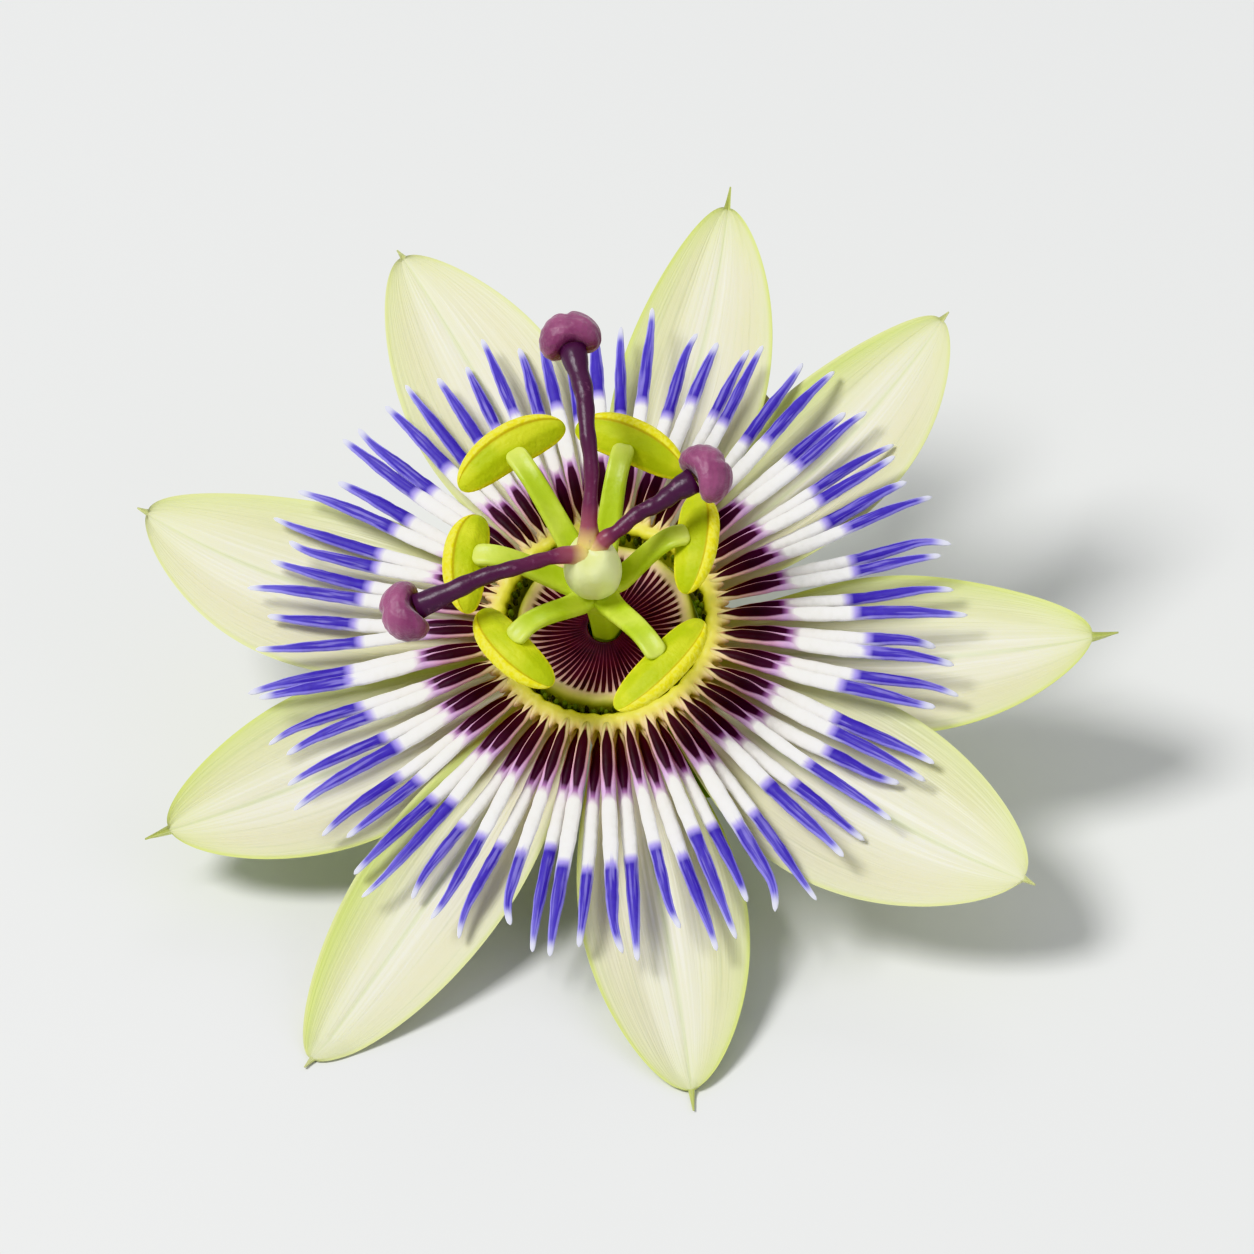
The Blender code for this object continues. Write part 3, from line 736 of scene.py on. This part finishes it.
def corona_filaments(name, level, turn, seed, stations):
    """One row of filaments, each a tube with a spindle-like root, a stout middle and a thin tip."""
    rng = np.random.default_rng(seed)
    number = np.arange(CORONA_COUNT)
    azimuth_0 = np.degrees(full_turn(CORONA_COUNT)) + turn
    wave = 0.9 * np.sin(0.42 * azimuth_0) + 0.5 * np.sin(0.93 * azimuth_0 + 1.0)
    reach = CORONA_TIP + wave + rng.uniform(-1.3, 0.8, CORONA_COUNT)
    s = 1.0 - (1.0 - np.linspace(0.0, 1.0, stations)[None, :]) ** 1.25
    radius = CORONA_ROOT + (reach[:, None] - CORONA_ROOT) * s
    lean = rng.uniform(-1.0, 1.0, CORONA_COUNT)[:, None]
    clump = np.sin(number * 1.9 + seed)[:, None] * 0.35
    hook = rng.uniform(-1.0, 1.0, CORONA_COUNT)[:, None]
    curl = hook * np.where(rng.uniform(0.0, 1.0, CORONA_COUNT) < 0.22, 2.0, 0.45)[:, None]
    sideways = (0.85 * lean + clump) * s**2 + 0.6 * curl * grow(s, 0.84, 1.0) ** 2
    azimuth = np.radians(azimuth_0)[:, None] + sideways / radius
    droop = 0.9 * s**1.5 + rng.uniform(-0.35, 0.35, CORONA_COUNT)[:, None] * s**2
    height = level - droop + 0.25 * np.sin(3.0 * math.pi * s + hook)
    lift = rng.uniform(-0.7, 0.7, CORONA_COUNT)[:, None]
    height = height + lift * grow(s, 0.82, 1.0) ** 2
    path = polar(radius, azimuth, height)
    half = np.interp(
        radius,
        (10.3, 11.2, 12.6, 14.6, 16.6, 18.2, 20.5, 22.6, 24.0, 27.5, 30.0, 34.0),
        (0.32, 0.42, 0.53, 0.60, 0.57, 0.60, 0.63, 0.60, 0.56, 0.52, 0.44, 0.32),
    )
    left = reach[:, None] - radius
    half = half * (0.55 + 0.45 * grow(left, 0.0, 5.0))
    half = half * (1.0 - grow(left, 0.7, 0.0) ** 2.2) ** 0.5 + 0.05
    ripple = np.sin(2.1 * radius + 9.0 * hook) + 0.6 * np.sin(4.7 * radius + 17.0 * lean)
    half = half * (1.0 + 0.035 * ripple)
    half = half * rng.uniform(0.9, 1.1, CORONA_COUNT)[:, None]
    change = rng.uniform(-1.3, 1.0, CORONA_COUNT)[:, None]
    rings, circle = tube_rings(path, half, 0.82 * half, 12)
    values = {
        "radius": radius[..., None],
        "side": np.cos(circle),
        "top": np.sin(circle),
        "left": left[..., None],
        "shift": (change * grow(radius, 14.0, 22.0).clip(0.3))[..., None],
        "tint": rng.uniform(0.0, 9.0, CORONA_COUNT)[:, None, None],
    }
    return loft(name, rings, values)


def corona_ring(name, profile):
    """A rounded ring whose outer side runs out in teeth between the roots of the filaments.

    A tooth is a raised cosine of the azimuth, squared, and it only shows outside 10 mm.
    """

    def teeth(radius, height, azimuth):
        tooth = (0.5 + 0.5 * np.cos(RING_TEETH * (azimuth - math.radians(2.5)))) ** 2
        outside = grow(radius, 10.0, 10.6) ** 2
        crumple = 0.05 * np.sin(31.0 * azimuth + 2.0 * height) + 0.04 * np.sin(53.0 * azimuth)
        return 0.85 * outside * tooth + crumple, -0.2 * outside + 0.06 * np.cos(36.0 * azimuth)

    points = turned(smooth_profile(profile, 28), 12 * RING_TEETH, teeth)
    radius = np.hypot(points[..., 0], points[..., 1])
    return loft(name, points, {"radius": radius}, shut=True)


def make_knobs(name):
    """Tiny upright knobs in an uneven double ring, each a short tube with a rounded head."""
    rng = np.random.default_rng(5)
    number = np.arange(KNOB_COUNT)
    azimuth = (number + rng.uniform(-0.35, 0.35, KNOB_COUNT)) * (2.0 * math.pi / KNOB_COUNT)
    radius = 8.9 + 0.12 * (-1.0) ** number + rng.uniform(-0.08, 0.08, KNOB_COUNT)
    tall = rng.uniform(0.45, 0.85, KNOB_COUNT)
    s = np.linspace(0.0, 1.0, 7)[None, :]
    path = polar(radius[:, None], azimuth[:, None], -0.6 + (0.6 + tall[:, None]) * s)
    half = rng.uniform(0.2, 0.3, KNOB_COUNT)[:, None]
    half = half * np.array((0.7, 0.75, 0.85, 1.0, 1.0, 0.8, 0.35))
    rings, _ = tube_rings(path, half, half, 8, upward=(1.0, 0.0, 0.02))
    return loft(name, rings, {"tint": rng.uniform(0.0, 1.0, KNOB_COUNT)[:, None, None]})


def make_cover(name):
    """The crest and the shallow fringe, a cosine of fine ribs, that closes in on the column."""
    knots = (
        (8.25, -1.9), (8.3, -1.2), (8.3, -0.4), (8.05, 0.12), (7.6, 0.3), (7.15, 0.16),
        (6.75, -0.15), (6.0, -0.5), (5.0, -0.78), (4.0, -0.92), (3.0, -0.85), (2.2, -0.6),
        (1.62, -0.25), (1.6, -0.5), (2.2, -1.0), (3.0, -1.3), (4.0, -1.35), (5.0, -1.25),
        (6.0, -1.05), (6.9, -0.8), (7.6, -0.9), (7.75, -1.9),
    )
    line = np.cos(COVER_RIBS * full_turn(12 * COVER_RIBS))[:, None]

    def ribs(radius, height, azimuth):
        fringe = grow(radius, 7.2, 6.6) * grow(radius, 1.6, 3.6)
        return 0.0, fringe * 0.09 * line + 0.04 * np.sin(23.0 * azimuth) * (radius > 7.0)

    points = turned(smooth_profile(knots, 72), 12 * COVER_RIBS, ribs)
    radius = np.hypot(points[..., 0], points[..., 1])
    return loft(name, points, {"radius": radius, "line": line}, shut=True)


def make_anther(name, half_length):
    """A long pod that bends round the head: half width is a power of the share along, under a root.

    Its back carries a low ridge, a furrow parts the back from the powdery lip on its outer side,
    and its ends turn down and towards the head's axis with the square of the share along.
    """
    middle, axes = main_axes(name)
    long_way, _, back = axes
    back = back * np.sign(back[2])
    outer = np.cross(back, long_way)
    outer = outer * np.sign(outer[:2] @ middle[:2])
    t = np.sin(np.linspace(-0.5, 0.5, 48) * math.pi)[:, None]
    turn = full_turn(40)
    full = (1.0 - np.abs(t) ** 2.5).clip(0.0) ** 0.5 + 0.015
    across, upward = np.cos(turn), np.sin(turn)
    top = upward > 0.0
    wide = 2.05 * full * across
    high = full * power(upward, 0.8) * np.where(top, 1.0, 0.9)
    high = high + full * top * (0.16 * bell(across, -0.1, 0.2) - 0.2 * bell(across, 0.58, 0.09))
    high = high + full * top * 0.14 * bell(across, 0.8, 0.14)
    high = high + 0.35 * full * bell(across, 0.0, 0.22) * ~top
    points = (
        middle
        + (half_length * t)[..., None] * long_way
        + (wide + 0.3 - 0.9 * t**2)[..., None] * outer
        + (high + 0.2 - 0.75 * t**2)[..., None] * back
    )
    return loft(name + "_pod", points[None], {"across": across, "under": upward < -0.25})


def make_strap(name, anther, rise):
    """A flat strap that arches up from the column's crown, and ends bluntly on its anther's back.

    Height is the root level plus the rise times a sine to the power 1.3, and the last part bends
    down to the anther.
    """
    reach, azimuth = far_end(name)
    middle, axes = main_axes(anther)
    back = axes[2] * np.sign(axes[2][2])
    rest = middle + back * 1.05
    s = 1.0 - (1.0 - np.linspace(0.0, 1.0, 44)) ** 1.5
    radius = 1.3 + (reach + 0.75 - 1.3) * s
    height = 7.7 + rise * np.sin(math.pi / 2.0 * grow(radius, 2.2, reach)) ** 1.3
    end = grow(s, 0.72, 1.0) ** 2
    path = polar(radius, azimuth, height)
    path = path + end[:, None] * (rest - path[-1]) * np.array((0.5, 0.5, 0.8))
    blunt = np.sqrt(1.0 - grow(s, 0.93, 1.0) ** 2.4)
    wide = np.interp(s, (0.0, 0.2, 0.7, 1.0), (1.25, 1.08, 0.96, 0.98)) * blunt + 0.06
    high = np.interp(s, (0.0, 0.3, 0.8, 1.0), (0.62, 0.46, 0.42, 0.5)) * blunt + 0.04
    rings, turn = tube_rings(path[None], wide[None], high[None], 32, square=0.62)
    groove = -0.2 * bell(np.cos(turn), 0.0, 0.34) * (np.sin(turn) > 0.0)
    rings = rings + (groove * blunt[:, None])[None, :, :, None] * np.array((0.0, 0.0, 1.0))
    return loft(name + "_strap", rings, {"along": s[:, None]})


def make_column(name):
    """A round column whose crown spreads in low lobes under the straps, on a wider foot."""
    knots = (
        (0.3, 8.45), (1.4, 8.42), (2.0, 8.1), (1.95, 7.2), (1.6, 6.0), (1.4, 4.4), (1.3, 1.0),
        (1.35, -2.0), (1.6, -4.4), (2.1, -5.9), (2.4, -6.7), (1.2, -6.85), (0.3, -6.85),
    )
    profile = smooth_profile(knots, 70, shut=False)
    azimuth = full_turn(48)
    radius = profile[:, :1] * (1.0 + 0.05 * np.cos(5.0 * azimuth))
    return loft(name + "_shaft", polar(radius, azimuth, profile[:, 1:])[None])


def make_ovary(name):
    """An egg with three low swells: radius by a sine to the power 0.72, height by a cosine."""
    low, tall, widest = COLUMN_TOP - 0.9, 7.7, 2.6
    angle = np.linspace(0.02, math.pi - 0.02, 48)[:, None]
    azimuth = full_turn(60)
    swell = np.cos(3.0 * (azimuth - 1.6))
    radius = widest * np.sin(angle) ** 0.72 * (1.0 - 0.07 * np.cos(angle))
    radius = radius * (1.0 + 0.04 * swell + 0.008 * np.cos(9.0 * azimuth))
    height = low + tall * (1.0 - np.cos(angle)) / 2.0
    height = height + 0.25 * bell(np.sin(angle), 0.45, 0.25) * (np.cos(angle) < 0.0) * swell
    return loft(name + "_egg", polar(radius, azimuth, height)[None])


def make_style(name, stigma, bow, number):
    """A tube from the ovary's crown to its stigma, thicker towards its end, with a slight sway."""
    rise, sway = bow
    centre, _ = main_axes(stigma)
    azimuth = math.atan2(centre[1], centre[0])
    sideways = azimuth + math.pi / 2.0
    root = polar(STYLE_FOOT[0], azimuth, STYLE_FOOT[1])
    _, end = outer_end(name, 0.8)
    s = np.linspace(0.0, 1.0, 46)
    u = s[:, None]
    path = root + (end - root) * u + np.sin(math.pi * u) * polar(sway, sideways, rise)
    wiggle = 0.45 * np.sin(4.0 * math.pi * u + number) * u * (1.0 - u)
    path = path + wiggle * polar(1.0, sideways, 0.6)
    path = path + grow(u, 0.12, 0.0) ** 1.5 * polar(-0.2, azimuth, -0.9)
    tail = (centre - end) / np.linalg.norm(centre - end)
    path = path + grow(u, 0.9, 1.0) ** 2 * tail * 0.75
    half = np.interp(s, (0.0, 0.08, 0.2, 0.6, 0.9, 1.0), (1.15, 0.82, 0.66, 0.76, 0.98, 1.25))[None]
    half = half * (1.0 + 0.05 * np.sin(40.0 * s + number))
    rings, _ = tube_rings(path[None], half, half, 20)
    return loft(name + "_tube", rings, {"along": u})


def make_stigma(name, style):
    """A kidney-shaped cap: a ball stretched to three half sizes, whose two lobes droop.

    The droop is the square of the share sideways, the side towards the style is drawn in round
    it, and a shallow cleft crosses the top of the cap.
    """
    middle, _ = main_axes(name)
    _, end = outer_end(style, 0.8)
    outward = (middle - end) / np.linalg.norm(middle - end)
    level = np.cross(outward, np.array((0.0, 0.0, 1.0)))
    level /= np.linalg.norm(level)
    third = np.cross(level, outward)
    tilt = np.linspace(0.01, math.pi - 0.01, 52)[:, None]
    azimuth = full_turn(80)
    x, y, z = np.sin(tilt) * np.cos(azimuth), np.sin(tilt) * np.sin(azimuth), np.cos(tilt)
    near = (-z).clip(0.0)
    waist = 1.0 - (0.04 + 0.14 * (-y).clip(0.0)) * bell(x, 0.0, 0.3)
    ball = np.hypot(x, y).clip(1e-6) ** -0.2
    skin = 1.0 + 0.01 * np.sin(9.0 * azimuth + 14.0 * tilt)
    cleft = 0.16 * bell(x, 0.08, 0.12) * z.clip(0.0)
    depth = z * (1.0 - 0.5 * near * bell(x, 0.0, 0.45)) - cleft - 0.22 * x**2
    body = (
        middle
        + (2.85 * ball * x * skin)[..., None] * level
        + (2.45 * ball * y * waist * skin)[..., None] * third
        + (2.1 * depth * skin + 0.15)[..., None] * outward
    )
    return loft(name + "_head", body[None], {"up": y})


def make_cup(name):
    """The thick-walled green cup under the flower, with ten faint ribs."""
    knots = (
        (8.7, -3.3), (8.65, -4.2), (8.3, -5.4), (7.3, -6.9), (5.4, -8.2), (3.4, -8.9), (2.0, -9.05),
        (0.35, -9.0), (0.3, -7.2), (3.0, -7.05), (4.8, -6.8), (6.6, -5.4), (7.3, -4.2), (7.6, -3.3),
    )

    def ribs(radius, height, azimuth):
        return 0.07 * np.cos(10.0 * azimuth) * grow(radius, 3.0, 7.0), 0.0

    return loft(name + "_shell", turned(smooth_profile(knots, 64), 120, ribs), shut=True)


def make_limen(name):
    """A low rounded collar that stands round the column's foot."""
    knots = ((3.9, -5.1), (3.75, -6.6), (3.3, -6.65), (3.05, -6.6), (3.2, -5.1), (3.55, -4.95))
    return loft(name + "_collar", turned(smooth_profile(knots, 24), 64), shut=True)


def make_bract(name):
    """A pointed oval leaf that spreads under the cup, with a sunken midrib and a soft wave."""
    _, azimuth = far_end(name)
    u = 1.0 - (1.0 - np.linspace(0.0, 1.0, 60)[:, None]) ** 1.4
    turn = full_turn(72)
    across, face = np.cos(turn), power(np.sin(turn), 0.6)
    width = 0.22 + 1.0 * (1.0 - u) + 6.2 * np.sin(math.pi * u**0.8).clip(0.0) ** 0.9
    fade = grow(width, 0.0, 2.5)
    height = -10.3 + 2.6 * u**1.5 + 0.9 * across**2 * u * fade
    height = height + fade * 0.25 * np.sin(9.0 * u + 1.0) * across**2
    height = height - fade * 0.14 * bell(across, 0.0, 0.1)
    height = height + face * 0.22 * (1.0 - 0.5 * np.abs(across) ** 3) * (0.4 + 0.6 * fade)
    points = np.stack(np.broadcast_arrays(2.3 + 17.5 * u, across * width, height), axis=-1)
    return loft(name + "_leaf", swing(points, azimuth)[None], {"along": u, "across": across})


def make_stalk(name):
    """The stalk follows two cubic arcs: from the cup's foot down to the surface, then along it."""
    start = place(np.array((0.0, 0.0, CUP_BOTTOM - 0.3)))
    leave = -HEAD_TURN[:, 2]
    rest = STALK_LEVEL - HEAD_HEIGHT
    touch = HEAD_ORIGIN + np.array((5.5, 20.0, rest)) * MM
    end = HEAD_ORIGIN + np.array((15.0, 58.0, rest)) * MM
    heading = (end - touch) / np.linalg.norm(end - touch)

    def arc(a, b, c, d, t):
        t = t[:, None]
        return (1 - t) ** 3 * a + 3 * t * (1 - t) ** 2 * b + 3 * t**2 * (1 - t) * c + t**3 * d

    t = np.linspace(0.0, 1.0, 50)
    first = arc(start, start + leave * 7 * MM, touch - heading * 8 * MM, touch, t)
    second = arc(touch, touch + heading * 8 * MM, end - heading * 8 * MM, end, t)
    path = np.concatenate((first, second[1:]))
    steps = np.concatenate(([0.0], np.cumsum(np.linalg.norm(np.diff(path, axis=0), axis=1))))
    s = steps / steps[-1]
    half = STALK_HALF * MM * (1.0 + 0.12 * bell(s, 0.0, 0.05) + 0.02 * np.sin(30.0 * s))
    rings, turn = tube_rings(path[None], half[None], half[None], 40)
    flute = 1.0 + 0.035 * np.cos(5.0 * turn)
    rings = path[None, :, None] + (rings - path[None, :, None]) * flute[None, None, :, None]
    lip = rings[:, -1:] + (path[-1] - rings[:, -1:]) * 0.35
    rings = np.concatenate((rings, lip), axis=1)
    cut = np.append(np.zeros(len(s)), 1.0)
    values = {
        "along": np.append(s, 1.0)[:, None],
        "cosine": np.cos(turn),
        "sine": np.sin(turn),
        "cut": cut[:, None],
    }
    rings[..., 2] = np.maximum(rings[..., 2], CAD_LOW[2])
    return loft(name + "_stem", rings, values, in_frame=False)


# --- settings and operators


class FlowerSettings(bpy.types.PropertyGroup):
    """Sizes and colours that a user may change before the pieces are made."""

    tepal_stations: bpy.props.IntProperty(
        name="Tepal stations", description="Steps along each tepal", default=90, min=20, max=200
    )
    filament_stations: bpy.props.IntProperty(
        name="Filament stations", description="Steps along each filament", default=34, min=8, max=80
    )
    cream: bpy.props.FloatVectorProperty(
        name="Cream", description="Inside of petals and sepals", subtype="COLOR", size=4,
        min=0.0, max=1.0, default=srgb(216, 212, 181),
    )
    floor: bpy.props.FloatVectorProperty(
        name="Floor", description="Floor and backdrop", subtype="COLOR", size=4,
        min=0.0, max=1.0, default=srgb(226, 226, 224),
    )
    camera_elevation: bpy.props.FloatProperty(
        name="Camera elevation", description="Above the horizon", subtype="ANGLE",
        default=math.radians(40.0),
    )
    camera_reach: bpy.props.FloatProperty(
        name="Camera distance", description="From the flower", unit="LENGTH", default=0.64
    )


def settings():
    """The flower's settings in the open scene."""
    return bpy.context.scene.passion_flower


class MakeTepals(bpy.types.Operator):
    """Makes the five petals and, under them, the four sepals"""

    bl_idname = "passion_flower.tepals"
    bl_label = "Petals and sepals"

    def execute(self, context):
        cream = tuple(settings().cream)
        inner = tepal_finish(
            "petal", cream, srgb(212, 217, 144), srgb(214, 217, 168), srgb(216, 220, 184)
        )
        outer = tepal_finish(
            "sepal", cream, srgb(202, 212, 116), srgb(206, 213, 144), srgb(150, 174, 78)
        )
        for tepals, whorl, finish, slot, first_seed in (
            (PETALS, PETAL_WHORL, inner, "petal_white", 40),
            (SEPALS, SEPAL_WHORL, outer, "sepal_green_white", 60),
        ):
            for seed, (name, shape) in enumerate(tepals.items(), first_seed):
                mesh = tepal(name, shape, whorl, settings().tepal_stations, seed)
                add_piece(name + "_blade", mesh, finish, slot, name)
        return {"FINISHED"}


class MakeCorona(bpy.types.Operator):
    """Makes both rows of the corona, the yellow ring and the ring of dark knobs"""

    bl_idname = "passion_flower.corona"
    bl_label = "Corona"

    def execute(self, context):
        banded, yellow = corona_finish(), ring_finish()
        for row, (level, turn, seed) in ROWS.items():
            nodes = [f"{row}_{i}" for i in range(1, 7)]
            name = row + "_filaments"
            mesh = corona_filaments(name, level, turn, seed, settings().filament_stations)
            add_piece(name, mesh, banded, "corona_blue", *nodes)
            mesh = corona_ring(row + "_ring", RINGS[row])
            add_piece(row + "_ring", mesh, yellow, "corona_blue", *nodes)
        mesh = make_knobs("dark_knobs")
        add_piece("dark_knobs", mesh, knob_finish(), "fringe_dark", "corona_fringe")
        return {"FINISHED"}


class MakeCup(bpy.types.Operator):
    """Makes the floral cup, the nectar cover with its fringe, and the limen"""

    bl_idname = "passion_flower.cup"
    bl_label = "Cup and nectar cover"

    def execute(self, context):
        green = soft_finish("cup_skin", srgb(150, 172, 74), srgb(176, 192, 100), 160.0, 0.5)
        add_piece("cup_shell", make_cup("floral_cup"), green, "cup_green", "floral_cup")
        add_piece("limen_collar", make_limen("limen"), green, "cup_green", "limen")
        mesh = make_cover("cover_fringe")
        add_piece("cover_fringe", mesh, cover_finish(), "nectar_cover_purple", "nectar_cover")
        return {"FINISHED"}


class MakeColumn(bpy.types.Operator):
    """Makes the column and the ovary on its top"""

    bl_idname = "passion_flower.column"
    bl_label = "Column and ovary"

    def execute(self, context):
        lime = soft_finish("column_skin", srgb(168, 190, 52), srgb(190, 206, 84), 240.0, 0.42)
        mint = soft_finish(
            "ovary_skin", srgb(222, 226, 146), srgb(232, 236, 176), 260.0, 0.36, bump=0.04
        )
        add_piece("column_shaft", make_column("column"), lime, "column_green", "column")
        add_piece("ovary_egg", make_ovary("ovary"), mint, "ovary_green", "ovary")
        return {"FINISHED"}


class MakeStamens(bpy.types.Operator):
    """Makes the six straps, each with its anther"""

    bl_idname = "passion_flower.stamens"
    bl_label = "Stamens"

    def execute(self, context):
        lime, pod = strap_finish(), anther_finish()
        for number, (rise, half_length) in enumerate(zip(STAMEN_RISES, ANTHER_HALF_LENGTHS), 1):
            strap, anther = f"stamen_{number}", f"anther_{number}"
            mesh = make_strap(strap, anther, rise)
            add_piece(strap + "_strap", mesh, lime, "stamen_green", strap)
            mesh = make_anther(anther, half_length)
            add_piece(anther + "_pod", mesh, pod, "anther_yellow", anther)
        return {"FINISHED"}


class MakeStyles(bpy.types.Operator):
    """Makes the three styles, each with its two-lobed stigma"""

    bl_idname = "passion_flower.styles"
    bl_label = "Styles and stigmas"

    def execute(self, context):
        purple, plum = style_finish(), stigma_finish()
        for number, bow in enumerate(STYLE_BOWS, 1):
            style, stigma = f"style_{number}", f"stigma_{number}"
            mesh = make_style(style, stigma, bow, number)
            add_piece(style + "_tube", mesh, purple, "style_purple", style)
            mesh = make_stigma(stigma, style)
            add_piece(stigma + "_head", mesh, plum, "stigma_plum", stigma)
        return {"FINISHED"}


class MakeStalk(bpy.types.Operator):
    """Makes the cut stalk and the three bracts"""

    bl_idname = "passion_flower.stalk"
    bl_label = "Stalk and bracts"

    def execute(self, context):
        leaf = leaf_finish(
            "bract_leaf", srgb(104, 138, 48), srgb(124, 156, 62), srgb(168, 188, 104)
        )
        for bract in ("bract_1", "bract_2", "bract_3"):
            add_piece(bract + "_leaf", make_bract(bract), leaf, "bract_green", bract)
        add_piece("stalk_stem", make_stalk("stalk"), stalk_finish(), "stalk_green", "stalk")
        return {"FINISHED"}


def show_facing(name, data, place_at, way):
    """Adds a lamp or camera at a place, and turns it to look this way."""
    made = show(name, data)
    made.location = place_at
    made.rotation_mode = "QUATERNION"
    made.rotation_quaternion = way.to_track_quat("-Z", "Y")
    return made


class SetStage(bpy.types.Operator):
    """Sets the pale floor, the soft lights and the camera"""

    bl_idname = "passion_flower.stage"
    bl_label = "Stage"

    def execute(self, context):
        # a floor that turns up into a backdrop along a quarter circle
        width, back, high, bend = 3.0, 1.6, 2.4, 0.5
        t = np.linspace(0.0, math.pi / 2.0, 16)
        line = np.concatenate((
            [(-3.0, 0.0)],
            np.stack((back - bend + bend * np.sin(t), bend - bend * np.cos(t)), axis=-1),
            [(back, high)],
        ))
        points = [(x, y, z) for y, z in line.tolist() for x in (-width, width)]
        faces = [(2 * i, 2 * i + 1, 2 * i + 3, 2 * i + 2) for i in range(len(line) - 1)]
        mesh = bpy.data.meshes.new("stage_floor")
        mesh.from_pydata(points, [], faces)
        mesh.shade_smooth()
        floor = show("stage_floor", mesh)
        floor.location.z = CAD_LOW[2]
        paint = Finish("pale_floor", roughness=0.8)
        paint.colour(tuple(settings().floor))
        mesh.materials.append(paint.material)

        for name, (place_at, size, strength) in LIGHTS.items():
            light = bpy.data.lights.new(name, "AREA")
            light.shape = "DISK"
            light.size = size
            light.energy = strength
            show_facing(name, light, place_at, Vector(LIGHTS_AIM) - Vector(place_at))
        world = bpy.data.worlds.new("studio_air")
        world.use_nodes = True
        air = world.node_tree.nodes["Background"].inputs
        air["Color"].default_value = srgb(240, 244, 250)
        air["Strength"].default_value = 0.42
        scene = bpy.context.scene
        scene.world = world
        scene.view_settings.view_transform = "Khronos PBR Neutral"
        scene.view_settings.exposure = 0.0

        lens = bpy.data.cameras.new("camera")
        lens.lens = CAMERA_LENS
        lens.clip_end = 20.0
        lift = settings().camera_elevation
        away = Vector((0.0, -math.cos(lift), math.sin(lift)))
        middle = Vector(HEAD_ORIGIN) + Vector(CAMERA_AIM) * MM
        scene.camera = show_facing("camera", lens, middle + away * settings().camera_reach, -away)
        return {"FINISHED"}


class FlowerPanel(bpy.types.Panel):
    """Lists the makers of the flower's pieces"""

    bl_idname = "VIEW3D_PT_passion_flower"
    bl_label = "Passion Flower"
    bl_space_type = "VIEW_3D"
    bl_region_type = "UI"
    bl_category = "Passion Flower"

    def draw(self, context):
        for label in FlowerSettings.__annotations__:
            self.layout.prop(context.scene.passion_flower, label)
        for maker in MAKERS:
            self.layout.operator(maker.bl_idname)


MAKERS = (MakeTepals, MakeCorona, MakeCup, MakeColumn, MakeStamens, MakeStyles, MakeStalk, SetStage)
CLASSES = (FlowerSettings, *MAKERS, FlowerPanel)


def register():
    """Adds the flower's settings, makers and panel."""
    for item in CLASSES:
        bpy.utils.register_class(item)
    bpy.types.Scene.passion_flower = bpy.props.PointerProperty(type=FlowerSettings)


def unregister():
    """Takes the flower's settings, makers and panel away again."""
    del bpy.types.Scene.passion_flower
    for item in reversed(CLASSES):
        bpy.utils.unregister_class(item)


def write_sizes():
    """Brings the scene's placements up to date."""
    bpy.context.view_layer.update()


def main():
    """Makes the whole flower and its stage."""
    register()
    bpy.ops.passion_flower.tepals()
    bpy.ops.passion_flower.corona()
    bpy.ops.passion_flower.cup()
    bpy.ops.passion_flower.column()
    bpy.ops.passion_flower.stamens()
    bpy.ops.passion_flower.styles()
    bpy.ops.passion_flower.stalk()
    bpy.ops.passion_flower.stage()
    write_sizes()


if __name__ == "__main__":
    main()
